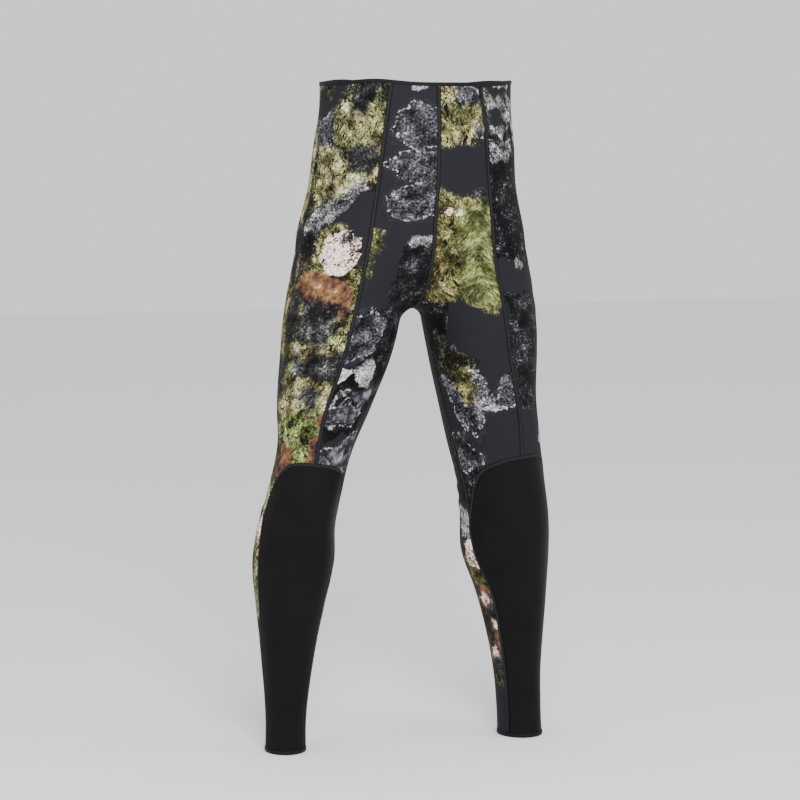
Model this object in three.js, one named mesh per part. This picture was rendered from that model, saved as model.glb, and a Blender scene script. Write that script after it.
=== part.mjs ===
// High-waist neoprene trousers, standing as they stand when they are worn.
// Millimetres, +Z up. The origin is the middle of the waist opening, level with
// its top edge. The front faces -Y and the wearer's right leg is at -X.
import * as THREE from "three";

// ---- driving dimensions -------------------------------------------------------
const WALL = 5;              // neoprene with a cloth laminate on both faces
const HEM_DROP = 1050;       // waist edge to ankle edge
const SEAT_DROP = 225;       // from here down the trunk rounds in under the seat
const CROTCH_DROP = 349;     // lowest point of the trunk's own form
const KNEE_DROP = 667;       // knee crease, where the shin turns
const PATCH_DROP = 592;      // top edge of the knee and shin panel
const THIGH_TOP = 120;       // the leg forms rise inside the trunk to this drop
const THIGH_DOME = 90;       // height of the dome above that
const FILLET = 18;           // rounding where the legs and the trunk run together
const LEAN = -7;             // sideways shift of the hips
const LEAN_DROP = 250;       // the shift is full from here down
const TOE_OUT = 12;          // each foot turns out by this, in degrees
const TOE_OUT_RUN = 300;     // the turn builds up over this drop, from the crotch down
const GAP = 0.4;             // clearance between two cut edges
const LAY = 0.6;             // clearance under a laid strip
const BINDING = 4;           // height of the bound waist edge and ankle edges
const SEAM_HALF = 3.5;       // half width of the strips over and under a seam
const STITCH_THICK = 1.2;    // thread outside
const TAPE_THICK = 0.8;      // liquid sealing tape inside
const BINDING_PROUD = 1;     // the bindings stand this far off both faces
const LEVEL_BAND = 30;       // the wall's edges turn square over this height at each end
const ROW_STEP = 38;         // height of a row of faces
const SADDLE_BAND = 84;      // rows draw together over this height above the crotch
const MEAN_RADIUS = 60;      // turns a clearance into an angle round the leg
const FAR = 400;             // longer than any ray inside the form
const WAIST_FACES = 48;      // faces round the waist binding and each ankle binding
const ANKLE_FACES = 24;
// columns of faces between the two seams of each kind of panel
const COLUMNS = { front: 4, side: 7, back: 4, shin: 6, calf: 6 };

// Every table runs by the drop below the waist edge.
// drop, half width, front depth, back depth, centre y
const TRUNK = [
  [0, 152, 112, 112, 0], [50, 153, 118, 113, 0], [90, 159, 122, 114, 0],
  [165, 167, 123, 121, 3], [235, 178, 120, 127, 7], [300, 178, 120, 127, 9],
  [352, 178, 120, 127, 10],
];
// drop, leg centre x (right, left), centre y
const LEG_LINE = [
  [0, 66, 66, 0], [120, 74, 74, 2], [250, 92, 94, 8], [352, 109, 112, 10],
  [427, 121, 124, 16], [502, 134, 137, 30], [566, 146, 150, 38], [635, 161, 166, 45],
  [692, 173, 176, 56], [749, 176, 180, 62], [818, 183, 189, 58], [882, 188, 194, 54],
  [960, 192, 198, 50], [1050, 195, 201, 46],
];
// drop, half width (right, left), half depth (right, left)
const LEG_GIRTH = [
  [120, 62, 62, 84, 84], [250, 88, 90, 102, 102], [352, 91, 91, 100, 100],
  [427, 86, 86, 92, 93], [502, 74, 77, 84, 87], [566, 60, 73, 77, 83],
  [635, 58, 69, 73, 77], [692, 61, 69, 74, 78], [749, 65, 69, 73, 77],
  [818, 55, 55, 63, 64], [882, 45, 45, 51, 52], [960, 35, 36, 39, 41],
  [1010, 32, 35, 37, 39], [1050, 32, 35, 37, 39],
];
// Seam lines: drop, then the angle round the leg from straight ahead, in degrees,
// positive towards the outside of the leg.
const FRONT_SIDE = [[0, 3], [70, 6], [300, 5], [420, 9], [530, 15], [604, 11], [667, 11]];
const BACK_SIDE = [[0, 172], [300, 176], [604, 182], [667, 182]];
const PATCH_INNER = [[592, -45], [640, -60], [700, -72], [738, -66], [810, -52], [1050, -52]];
const PATCH_OUTER = [[592, 58], [636, 76], [670, 79], [736, 71], [895, 85], [1050, 84]];

const RIGHT = -1;
const LEFT = 1;
const SIDE_NAME = { [RIGHT]: "right", [LEFT]: "left" };
const rad = THREE.MathUtils.degToRad;
const clamp = THREE.MathUtils.clamp;

// ---- the body form ------------------------------------------------------------
function along(table, drop, column) {
  // smooth curve through one column of a table, with three-point slopes
  const last = table.length - 1;
  const d = clamp(drop, table[0][0], table[last][0]);
  let i = 0;
  while (i < last - 1 && d > table[i + 1][0]) i += 1;
  const width = (k) => table[k + 1][0] - table[k][0];
  const slope = (k) => (table[k + 1][column] - table[k][column]) / width(k);
  const tangent = (k) => {
    if (k === 0) return slope(0);
    if (k === last) return slope(last - 1);
    return (slope(k - 1) * width(k) + slope(k) * width(k - 1)) / (width(k) + width(k - 1));
  };
  const w = width(i);
  const u = (d - table[i][0]) / w;
  return (1 + 2 * u) * (1 - u) ** 2 * table[i][column] + u * (1 - u) ** 2 * w * tangent(i)
    + u * u * (3 - 2 * u) * table[i + 1][column] + u * u * (u - 1) * w * tangent(i + 1);
}

function ellipsoid(x, y, z, a, b, c) {
  // near-true distance to an ellipsoid's face, negative inside
  const near = Math.hypot(x / a, y / b, z / c) + 1e-9;
  const steep = Math.hypot(x / (a * a), y / (b * b), z / (c * c)) + 1e-9;
  return (near * (near - 1)) / steep;
}

const middleX = (drop) => LEAN * clamp(drop / LEAN_DROP, 0, 1);

function trunkForm(x, y, drop) {
  const dy = y - along(TRUNK, drop, 4);
  const depth = along(TRUNK, drop, dy < 0 ? 2 : 3);
  const below = Math.max(drop - SEAT_DROP, 0);
  return ellipsoid(x - middleX(drop), dy, below, along(TRUNK, drop, 1), depth, CROTCH_DROP - SEAT_DROP);
}

function legCentre(drop, side) {
  const x = side * along(LEG_LINE, drop, side === RIGHT ? 1 : 2) + middleX(drop);
  return [x, along(LEG_LINE, drop, 3)];
}

const toeOut = (drop) => rad(TOE_OUT) * clamp((drop - CROTCH_DROP) / TOE_OUT_RUN, 0, 1);

function legForm(x, y, drop, side) {
  const [cx, cy] = legCentre(drop, side);
  const turn = side * toeOut(drop);
  const dx = x - cx;
  const dy = y - cy;
  const acrossLeg = dx * Math.cos(turn) + dy * Math.sin(turn);
  const alongFoot = -dx * Math.sin(turn) + dy * Math.cos(turn);
  const column = side === RIGHT ? 1 : 2;
  const width = along(LEG_GIRTH, drop, column);
  const depth = along(LEG_GIRTH, drop, column + 2);
  return ellipsoid(acrossLeg, alongFoot, Math.max(THIGH_TOP - drop, 0), width, depth, THIGH_DOME);
}

function merge(a, b) {
  const h = clamp(0.5 + (0.5 * (b - a)) / FILLET, 0, 1);
  return b * (1 - h) + a * h - FILLET * h * (1 - h);
}

function form(x, y, drop) {
  const legs = merge(legForm(x, y, drop, RIGHT), legForm(x, y, drop, LEFT));
  return merge(legs, trunkForm(x, y, drop));
}

function reach(x, y, dirX, dirY, drop, far) {
  // how far a level ray runs before it leaves the form
  let low = 0;
  let high = far;
  for (let i = 0; i < 40; i += 1) {
    const middle = (low + high) / 2;
    if (form(x + dirX * middle, y + dirY * middle, drop) < 0) low = middle;
    else high = middle;
  }
  return (low + high) / 2;
}

function findCrotch() {
  let low = 300;
  let high = 420;
  for (let i = 0; i < 50; i += 1) {
    const middle = (low + high) / 2;
    if (form(middleX(middle), along(LEG_LINE, middle, 3), middle) < 0) low = middle;
    else high = middle;
  }
  return (low + high) / 2;
}
const SADDLE = findCrotch();     // the drop at which the two legs part

function halfSpan(drop, side) {
  // the angles at which one half's section starts and ends: at the centre seams
  // above the saddle, and at the inseam below it
  if (drop >= SADDLE) return [-Math.PI / 2 + toeOut(drop), 1.5 * Math.PI + toeOut(drop)];
  const [cx, cy] = legCentre(drop, side);
  const x = middleX(drop);
  const gap = Math.abs(cx - x);
  const front = reach(x, cy, 0, -1, drop, FAR);
  const back = reach(x, cy, 0, 1, drop, FAR);
  return [Math.atan2(front, gap) - Math.PI / 2, 1.5 * Math.PI - Math.atan2(back, gap)];
}

function surfacePoint(drop, angle, side) {
  const [cx, cy] = legCentre(drop, side);
  const dirX = side * Math.sin(angle);
  const dirY = -Math.cos(angle);
  const inward = dirX * side;
  const far = inward < -1e-6 ? Math.min(Math.abs(cx - middleX(drop)) / -inward, FAR) : FAR;
  const r = reach(cx, cy, dirX, dirY, drop, far);
  return [cx + dirX * r, cy + dirY * r, drop];
}

function outward(point) {
  // unit normal of the form, levelled off at the flat waist and ankle edges
  const [x, y, drop] = point;
  const e = 0.5;
  const level = clamp(drop / LEVEL_BAND, 0, 1) * clamp((HEM_DROP - drop) / LEVEL_BAND, 0, 1);
  const gx = form(x + e, y, drop) - form(x - e, y, drop);
  const gy = form(x, y + e, drop) - form(x, y - e, drop);
  const gd = (form(x, y, drop + e) - form(x, y, drop - e)) * level;
  return new THREE.Vector3(gx, gy, -gd).normalize();
}

function offsetPoint(point, distance) {
  const [x, y, drop] = point;
  return new THREE.Vector3(x, y, -drop).addScaledVector(outward(point), distance);
}

// ---- solids -------------------------------------------------------------------
function closedGeometry(vertices, triangles) {
  const geometry = new THREE.BufferGeometry();
  const flat = vertices.flatMap((v) => [v.x, v.y, v.z]);
  geometry.setAttribute("position", new THREE.Float32BufferAttribute(flat, 3));
  geometry.setIndex(triangles);
  geometry.computeVertexNormals();
  return geometry;
}

function slab(outer, inner, wraps = false) {
  // one closed body between two matching grids of points, rows running down and
  // columns running round; a wrapped slab is a ring
  const rows = outer.length;
  const columns = outer[0].length;
  const vertices = [...outer.flat(), ...inner.flat()];
  const half = rows * columns;
  const at = (i, j, layer) => layer * half + i * columns + (j % columns);
  const triangles = [];
  const quad = (a, b, c, d) => triangles.push(a, b, c, a, c, d);
  const lastColumn = wraps ? columns : columns - 1;
  for (let i = 0; i < rows - 1; i += 1) {
    for (let j = 0; j < lastColumn; j += 1) {
      quad(at(i, j, 0), at(i + 1, j, 0), at(i + 1, j + 1, 0), at(i, j + 1, 0));
      quad(at(i, j, 1), at(i, j + 1, 1), at(i + 1, j + 1, 1), at(i + 1, j, 1));
    }
  }
  for (let j = 0; j < lastColumn; j += 1) {
    quad(at(0, j, 0), at(0, j + 1, 0), at(0, j + 1, 1), at(0, j, 1));
    quad(at(rows - 1, j, 0), at(rows - 1, j, 1), at(rows - 1, j + 1, 1), at(rows - 1, j + 1, 0));
  }
  for (let i = 0; i < rows - 1 && !wraps; i += 1) {
    const k = columns - 1;
    quad(at(i, 0, 0), at(i, 0, 1), at(i + 1, 0, 1), at(i + 1, 0, 0));
    quad(at(i, k, 0), at(i + 1, k, 0), at(i + 1, k, 1), at(i, k, 1));
  }
  return closedGeometry(vertices, triangles);
}

function turnedOut(geometry) {
  // a mirrored half winds the other way, so its faces are turned to point out
  const index = geometry.getIndex().array;
  const p = geometry.getAttribute("position");
  const [a, b, c] = [new THREE.Vector3(), new THREE.Vector3(), new THREE.Vector3()];
  let volume = 0;
  for (let i = 0; i < index.length; i += 3) {
    a.fromBufferAttribute(p, index[i]);
    b.fromBufferAttribute(p, index[i + 1]);
    c.fromBufferAttribute(p, index[i + 2]);
    volume += a.dot(b.cross(c));
  }
  if (volume > 0) return geometry;
  for (let i = 0; i < index.length; i += 3) [index[i], index[i + 1]] = [index[i + 1], index[i]];
  geometry.computeVertexNormals();
  return geometry;
}

function rowDrops(top, bottom) {
  // even rows, drawn together towards the saddle, where the form turns under
  const drops = new Set([top, bottom]);
  const steps = 6;
  for (let k = 0; k <= steps; k += 1) {
    const drop = SADDLE - SADDLE_BAND * (k / steps) ** 2;
    if (drop > top + 1 && drop < bottom - 1) drops.add(drop);
  }
  const plain = (from, to) => {
    const count = Math.max(1, Math.round((to - from) / ROW_STEP));
    for (let k = 1; k < count; k += 1) drops.add(from + ((to - from) * k) / count);
  };
  if (top < SADDLE - SADDLE_BAND) plain(top, SADDLE - SADDLE_BAND);
  if (top >= SADDLE) plain(top, bottom);
  return [...drops].sort((p, q) => p - q);
}

function seamSpread(drop, angle, side) {
  // the angle that half a seam strip covers at one place on the wall
  const [x, y] = surfacePoint(drop, angle, side);
  const [cx, cy] = legCentre(drop, side);
  return SEAM_HALF / Math.hypot(x - cx, y - cy);
}

function panel(kind, side, top, bottom, fromAngle, toAngle) {
  // a piece of the wall between two seam lines, cut back a little from each; its
  // first columns lie under the edges of the seam strips
  const count = COLUMNS[kind];
  const cut = GAP / MEAN_RADIUS;
  const points = rowDrops(top, bottom).map((drop) => {
    const from = fromAngle(drop);
    const to = toAngle(drop);
    const first = from + seamSpread(drop, from, side);
    const last = to - seamSpread(drop, to, side);
    const angles = [from + cut];
    for (let k = 0; k <= count; k += 1) angles.push(first + ((last - first) * k) / count);
    angles.push(to - cut);
    return angles.map((angle) => surfacePoint(drop, angle, side));
  });
  const outer = points.map((row) => row.map((p) => offsetPoint(p, 0)));
  const inner = points.map((row) => row.map((p) => offsetPoint(p, -WALL)));
  return turnedOut(slab(outer, inner));
}

function strip(side, drops, angle, low, high) {
  // a narrow strip laid along a seam line, between two offsets from the wall's face
  const points = drops.map((drop) => {
    const spread = seamSpread(drop, angle(drop), side);
    return [-spread, 0, spread].map((s) => surfacePoint(drop, angle(drop) + s, side));
  });
  const outer = points.map((row) => row.map((p) => offsetPoint(p, high)));
  const inner = points.map((row) => row.map((p) => offsetPoint(p, low)));
  return turnedOut(slab(outer, inner));
}

function centreStrip(drops, end, low, high) {
  // the same over a centre seam: end 0 is the front seam, 1 the back one
  const points = drops.map((drop) => [RIGHT, 0, LEFT].map((place) => {
    const side = place || LEFT;
    const seam = halfSpan(drop, side)[end];
    const inwards = end === 0 ? 1 : -1;
    const spread = Math.abs(place) * inwards * seamSpread(drop, seam, side);
    return surfacePoint(drop, seam + spread, side);
  }));
  const outer = points.map((row) => row.map((p) => offsetPoint(p, high)));
  const inner = points.map((row) => row.map((p) => offsetPoint(p, low)));
  return turnedOut(slab(outer, inner));
}

function ring(centre, edgeDrop, top, bottom, count) {
  // a bound edge: a level band right round one opening, a little proud of both faces
  const offsets = [];
  const [cx, cy] = centre;
  const far = edgeDrop === 0 ? FAR : Math.abs(cx);
  for (let k = 0; k < count; k += 1) {
    const angle = (k / count) * Math.PI * 2;
    const r = reach(cx, cy, Math.sin(angle), -Math.cos(angle), top, far);
    offsets.push([cx + Math.sin(angle) * r, cy - Math.cos(angle) * r]);
  }
  const level = (drop, distance) => offsets.map(([x, y]) => {
    const v = offsetPoint([x, y, edgeDrop], distance);
    return new THREE.Vector3(v.x, v.y, -drop);
  });
  const outer = [level(top, BINDING_PROUD), level(bottom, BINDING_PROUD)];
  const inner = [level(top, -WALL - BINDING_PROUD), level(bottom, -WALL - BINDING_PROUD)];
  return turnedOut(slab(outer, inner, true));
}

// ---- materials ----------------------------------------------------------------
const printed = (color) => () => new THREE.MeshStandardMaterial({ color, roughness: 0.85, metalness: 0 });
const printedJersey = printed(0x4a4a44);
const smoothBlack = () => new THREE.MeshStandardMaterial({ color: 0x1d1d1e, roughness: 0.5, metalness: 0 });
const blackThread = () => new THREE.MeshStandardMaterial({ color: 0x161616, roughness: 0.8, metalness: 0 });
const innerTape = () => new THREE.MeshStandardMaterial({ color: 0x202022, roughness: 0.75, metalness: 0 });

// ---- assembly -----------------------------------------------------------------
const group = new THREE.Group();

function add(name, geometry, material) {
  const mesh = new THREE.Mesh(geometry, material());
  mesh.name = name;
  group.add(mesh);
}

const seam = (table) => (drop) => rad(along(table, drop, 1));
const frontSide = seam(FRONT_SIDE);
const backSide = seam(BACK_SIDE);
const patchInner = seam(PATCH_INNER);
const patchOuter = seam(PATCH_OUTER);
const trunkTop = BINDING + GAP;
const hemTop = HEM_DROP - BINDING - GAP;
const hipTop = SADDLE + GAP;
const kneeTop = KNEE_DROP + GAP;
const stitchHigh = LAY + STITCH_THICK;
const tapeHigh = -WALL - LAY;
const tapeLow = tapeHigh - TAPE_THICK;

function seamPair(name, side, top, bottom, line) {
  // the stitched strip outside a seam and the glued tape inside it
  const drops = rowDrops(top, bottom);
  drops[drops.length - 1] -= LAY;
  add(`${name}_stitching`, strip(side, drops, line, LAY, stitchHigh), blackThread);
  add(`${name}_tape`, strip(side, drops, line, tapeLow, tapeHigh), innerTape);
}

add("waist_binding", ring([0, 0], 0, 0, BINDING, WAIST_FACES), smoothBlack);

for (const side of [RIGHT, LEFT]) {
  const name = SIDE_NAME[side];
  const start = (drop) => halfSpan(drop, side)[0];
  const end = (drop) => halfSpan(drop, side)[1];

  // trunk
  add(`${name}_front_panel`, panel("front", side, trunkTop, SADDLE, start, frontSide), printedJersey);
  add(`${name}_side_panel`, panel("side", side, trunkTop, SADDLE, frontSide, backSide), printedJersey);
  add(`${name}_back_panel`, panel("back", side, trunkTop, SADDLE, backSide, end), printedJersey);
  seamPair(`${name}_hip_front_seam`, side, trunkTop, SADDLE, frontSide);
  seamPair(`${name}_hip_back_seam`, side, trunkTop, SADDLE, backSide);

  // thigh, down to the knee crease
  add(`${name}_thigh_front`, panel("front", side, hipTop, PATCH_DROP, start, frontSide), printedJersey);
  add(`${name}_thigh_side`, panel("side", side, hipTop, PATCH_DROP, frontSide, backSide), printedJersey);
  add(`${name}_thigh_back`, panel("back", side, hipTop, PATCH_DROP, backSide, end), printedJersey);
  seamPair(`${name}_thigh_front_seam`, side, hipTop, PATCH_DROP, frontSide);
  seamPair(`${name}_thigh_back_seam`, side, hipTop, PATCH_DROP, backSide);
  const inseamDrops = rowDrops(hipTop, PATCH_DROP).slice(1, -1);
  add(`${name}_inseam_stitching`, strip(side, inseamDrops, start, LAY, stitchHigh), blackThread);
  const kneeRow = PATCH_DROP + 2.5 * GAP;
  const wrapped = (drop) => patchInner(drop) + 2 * Math.PI;
  add(`${name}_knee_panel`, panel("shin", side, kneeRow, KNEE_DROP, patchInner, patchOuter), smoothBlack);
  add(`${name}_knee_back`, panel("calf", side, kneeRow, KNEE_DROP, patchOuter, wrapped), printedJersey);

  // shin, from the knee crease to the ankle
  add(`${name}_shin_panel`, panel("shin", side, kneeTop, hemTop, patchInner, patchOuter), smoothBlack);
  add(`${name}_calf_panel`, panel("calf", side, kneeTop, hemTop, patchOuter, wrapped), printedJersey);
  seamPair(`${name}_shin_inner_seam`, side, kneeTop, hemTop, patchInner);
  seamPair(`${name}_shin_outer_seam`, side, kneeTop, hemTop, patchOuter);
  add(`${name}_ankle_binding`,
    ring(legCentre(HEM_DROP, side), HEM_DROP, HEM_DROP - BINDING, HEM_DROP, ANKLE_FACES), smoothBlack);
}

// the centre strips stop where the wall turns level under the seat
const centreDrops = rowDrops(trunkTop, SADDLE).slice(0, -3);
add("centre_front_stitching", centreStrip(centreDrops, 0, LAY, stitchHigh), blackThread);
add("centre_back_stitching", centreStrip(centreDrops, 1, LAY, stitchHigh), blackThread);

export default group;
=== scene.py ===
import bpy
import numpy as np
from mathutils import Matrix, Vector


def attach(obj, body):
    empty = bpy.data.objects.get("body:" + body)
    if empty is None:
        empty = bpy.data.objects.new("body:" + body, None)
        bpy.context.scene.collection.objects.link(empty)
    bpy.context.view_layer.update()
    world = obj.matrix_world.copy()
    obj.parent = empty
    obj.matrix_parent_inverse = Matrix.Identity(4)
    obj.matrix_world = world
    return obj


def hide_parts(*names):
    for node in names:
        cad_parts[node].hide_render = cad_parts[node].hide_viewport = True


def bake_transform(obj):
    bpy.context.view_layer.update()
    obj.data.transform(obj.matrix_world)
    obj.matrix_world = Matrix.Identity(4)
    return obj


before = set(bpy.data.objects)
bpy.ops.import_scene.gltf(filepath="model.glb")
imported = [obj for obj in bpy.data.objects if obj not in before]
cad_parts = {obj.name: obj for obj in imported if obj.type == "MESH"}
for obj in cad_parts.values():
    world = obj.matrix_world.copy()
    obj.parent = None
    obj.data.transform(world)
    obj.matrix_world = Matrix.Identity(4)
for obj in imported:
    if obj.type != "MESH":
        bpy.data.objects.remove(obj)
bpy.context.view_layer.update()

# ---- Camera, floor and light -------------------------------------------------------------
# The trousers stand as they do on a display form, a little over a metre tall, on a pale
# floor in a plain studio. The camera is level with the waist and looks slightly down, with
# the wearer's right leg nearer.
TURN = np.radians(18.0)            # the camera stands this far round to the wearer's right
DISTANCE = 4.4
TILT = np.radians(6.16)            # downwards
ASIDE = 0.0245                     # the aim passes this far to the left of the waist's middle
HEIGHT = -0.02                     # over the waist edge
into = np.array([np.sin(TURN), np.cos(TURN), 0.0])
across = np.array([np.cos(TURN), -np.sin(TURN), 0.0])
aim = into * np.cos(TILT) - np.array([0.0, 0.0, np.sin(TILT)])

camera = bpy.data.objects.new("camera", bpy.data.cameras.new("camera"))
camera.data.sensor_width = 36.0
camera.data.lens = 126.6
camera.data.clip_end = 50.0
camera.location = -DISTANCE * into - ASIDE * across + np.array([0.0, 0.0, HEIGHT])
camera.rotation_euler = Vector(aim).to_track_quat("-Z", "Y").to_euler()
bpy.context.scene.collection.objects.link(camera)
bpy.context.scene.camera = camera

FLOOR_LEVEL, FLOOR_HALF = -1.052, 9.0
corners = [(x * FLOOR_HALF, y * FLOOR_HALF, FLOOR_LEVEL) for x, y in ((-1, -1), (1, -1), (1, 1), (-1, 1))]
floor_mesh = bpy.data.meshes.new("floor")
floor_mesh.from_pydata(corners, [], [(0, 1, 2, 3)])
floor = bpy.data.objects.new("floor", floor_mesh)
bpy.context.scene.collection.objects.link(floor)
paint = bpy.data.materials.new("floor paint")
paint.use_nodes = True
matt = paint.node_tree.nodes["Principled BSDF"]
matt.inputs["Base Color"].default_value = (0.9, 0.9, 0.9, 1)
matt.inputs["Roughness"].default_value = 0.9
floor_mesh.materials.append(paint)

world = bpy.data.worlds.new("studio")
world.use_nodes = True
surround = world.node_tree.nodes["Background"]
surround.inputs["Color"].default_value = (1.0, 1.0, 1.0, 1)
surround.inputs["Strength"].default_value = 1.05
bpy.context.scene.world = world
LAMPS_AIM = Vector((0.0, 0.0, -0.5))


def softbox(name, position, size, power):
    """A rectangular area lamp that faces the middle of the trousers."""
    lamp = bpy.data.lights.new(name, "AREA")
    lamp.shape = "RECTANGLE"
    lamp.size, lamp.size_y = size
    lamp.energy = power
    box = bpy.data.objects.new(name, lamp)
    box.location = position
    box.rotation_euler = (LAMPS_AIM - Vector(position)).to_track_quat("-Z", "Y").to_euler()
    bpy.context.scene.collection.objects.link(box)


softbox("key light", (-0.6, -3.2, 1.3), (1.3, 2.2), 150)
softbox("side light", (2.8, -1.6, 0.6), (1.0, 2.4), 18)
softbox("left light", (-3.0, -0.8, 0.4), (1.0, 2.4), 16)

# ---- The body form that the panels are cut over --------------------------------------------
# Neoprene trousers take the shape of the legs inside them. The form is an ellipsoid trunk
# and two leg tubes, run together with a rounding at the crotch, in millimetres. The frame's
# solids follow it within a few millimetres.
MM = 0.001
WALL = 5.0
HEM = 1050.0
SEAT, TRUNK_END = 225.0, 345.0     # where the trunk starts to round in, and where it ends
LEG_TOP, LEG_DOME = 120.0, 90.0    # where a leg tube starts, and how high its rounded top is
FILLET = 18.0                      # rounding between the legs and the trunk
CROTCH_FILLET, CROTCH_RUN = 20.0, 22.0     # what the crotch adds to it, and over what drop
LEAN, LEAN_RUN = -7.0, 250.0       # the centre seams' drift to the right, reached by this drop
TOE_OUT, TOE_RUN = np.radians(12.0), 300.0
ABOVE_ARCH, BELOW_ARCH = 300.0, 400.0      # the legs part between these drops
FAR = 400.0                        # longer than any line inside the form
RIGHT, LEFT = -1, 1
SIDES = {RIGHT: "right", LEFT: "left"}
# drop below the waist, half width, front depth, back depth, centre y
TRUNK = np.array([
    (0, 152, 112, 112, 0), (50, 153, 118, 113, 0), (90, 159, 122, 114, 0), (165, 167, 123, 121, 3),
    (235, 178, 120, 127, 7), (300, 178, 120, 127, 9), (352, 178, 120, 127, 10)], float)
# drop, leg centre x (right, left), centre y
LEG_LINE = np.array([
    (0, 66, 66, 0), (120, 74, 74, 2), (250, 92, 94, 8), (352, 109, 112, 10), (427, 121, 124, 16),
    (502, 134, 137, 30), (566, 146, 150, 38), (635, 161, 166, 45), (692, 173, 176, 56),
    (749, 176, 180, 62), (818, 183, 189, 58), (882, 188, 194, 54), (960, 192, 198, 50),
    (1050, 195, 201, 46)], float)
# drop, half width (right, left), half depth (right, left)
LEG_GIRTH = np.array([
    (120, 62, 62, 84, 84), (250, 88, 90, 102, 102), (352, 91, 91, 100, 100), (427, 86, 86, 92, 93),
    (502, 74, 77, 84, 87), (566, 60, 73, 77, 83), (635, 58, 69, 73, 77), (692, 61, 69, 74, 78),
    (749, 65, 69, 73, 77), (818, 55, 55, 63, 64), (882, 45, 45, 51, 52), (960, 35, 36, 39, 41),
    (1010, 32, 35, 37, 39), (1050, 32, 35, 37, 39)], float)


def along(table, drop, column):
    """Smooth curve through one column of a table: cubic spans with three-point slopes."""
    at, value = table[:, 0], table[:, column]
    run = np.diff(at)
    slope = np.diff(value) / run
    between = (slope[:-1] * run[1:] + slope[1:] * run[:-1]) / (run[1:] + run[:-1])
    tangent = np.concatenate([slope[:1], between, slope[-1:]])
    d = np.clip(drop, at[0], at[-1])
    i = np.clip(np.searchsorted(at, d) - 1, 0, len(at) - 2)
    w = run[i]
    u = (d - at[i]) / w
    return ((1 + 2 * u) * (1 - u) ** 2 * value[i] + u * (1 - u) ** 2 * w * tangent[i]
            + u * u * (3 - 2 * u) * value[i + 1] + u * u * (u - 1) * w * tangent[i + 1])


def ellipsoid(x, y, z, a, b, c):
    """Near-true distance to an ellipsoid's face: q(q - 1) over the length of q's slope."""
    near = np.sqrt((x / a) ** 2 + (y / b) ** 2 + (z / c) ** 2) + 1e-9
    steep = np.sqrt((x / a ** 2) ** 2 + (y / b ** 2) ** 2 + (z / c ** 2) ** 2) + 1e-9
    return near * (near - 1) / steep


def middle(drop):
    """Sideways place of the centre seams."""
    return LEAN * np.clip(drop / LEAN_RUN, 0, 1)


def leg_centre(drop, side):
    """Sideways and front-to-back place of one leg's middle."""
    return side * along(LEG_LINE, drop, 1 if side == RIGHT else 2) + middle(drop), along(LEG_LINE, drop, 3)


def toe_out(drop):
    """How far a leg has turned outwards, growing evenly below the trunk."""
    return TOE_OUT * np.clip((drop - TRUNK_END) / TOE_RUN, 0, 1)


def merge(a, b, fillet=FILLET):
    """Smooth minimum of two distances: h goes from 0 to 1 as they change places over the
    fillet, and fillet times h(1 - h) is taken off where they are alike."""
    h = np.clip(0.5 + 0.5 * (b - a) / fillet, 0, 1)
    return b * (1 - h) + a * h - fillet * h * (1 - h)


def form(x, y, drop):
    """Distance to the body form: two leg tubes merged, then merged with the trunk, with a
    wider fillet about the trunk's end."""
    legs = []
    for side in (RIGHT, LEFT):
        cx, cy = leg_centre(drop, side)
        turn = side * toe_out(drop)
        column = 1 if side == RIGHT else 2
        over = (x - cx) * np.cos(turn) + (y - cy) * np.sin(turn)
        ahead = -(x - cx) * np.sin(turn) + (y - cy) * np.cos(turn)
        legs.append(ellipsoid(over, ahead, np.maximum(LEG_TOP - drop, 0), along(LEG_GIRTH, drop, column),
                              along(LEG_GIRTH, drop, column + 2), LEG_DOME))
    dy = y - along(TRUNK, drop, 4)
    depth = np.where(dy < 0, along(TRUNK, drop, 2), along(TRUNK, drop, 3))
    past = np.maximum(drop - SEAT, 0)
    trunk = ellipsoid(x - middle(drop), dy, past, along(TRUNK, drop, 1), depth, TRUNK_END - SEAT)
    fillet = FILLET + CROTCH_FILLET * np.exp(-((drop - TRUNK_END) / CROTCH_RUN) ** 2)
    return merge(merge(*legs), trunk, fillet)


def clear_of_edges(drop, run):
    """0 at the waist and hem edges, 1 from run mm inside them."""
    return np.clip(drop / run, 0, 1) * np.clip((HEM - drop) / run, 0, 1)


def outward(x, y, drop):
    """Unit normal of the form from central differences, levelled at the flat end edges."""
    e = 0.5
    n = np.stack([form(x + e, y, drop) - form(x - e, y, drop), form(x, y + e, drop) - form(x, y - e, drop),
                  -(form(x, y, drop + e) - form(x, y, drop - e)) * clear_of_edges(drop, 30)], -1)
    return n / np.linalg.norm(n, axis=-1, keepdims=True)


def reach(cx, cy, to_x, to_y, drop, far=FAR):
    """How far level rays run before they leave the form, by halving."""
    low, high = np.zeros_like(cx), far * np.ones_like(cx)
    for _ in range(26):
        half = (low + high) / 2
        inside = form(cx + to_x * half, cy + to_y * half, drop) < 0
        low, high = np.where(inside, half, low), np.where(inside, high, half)
    return (low + high) / 2


def find_saddle():
    """The drop at which the two legs part, by halving on the centre line."""
    low, high = ABOVE_ARCH, BELOW_ARCH
    for _ in range(40):
        half = np.array((low + high) / 2)
        inside = form(middle(half), along(LEG_LINE, half, 3), half) < 0
        low, high = (float(half), high) if inside else (low, float(half))
    return (low + high) / 2


SADDLE = find_saddle()


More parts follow.
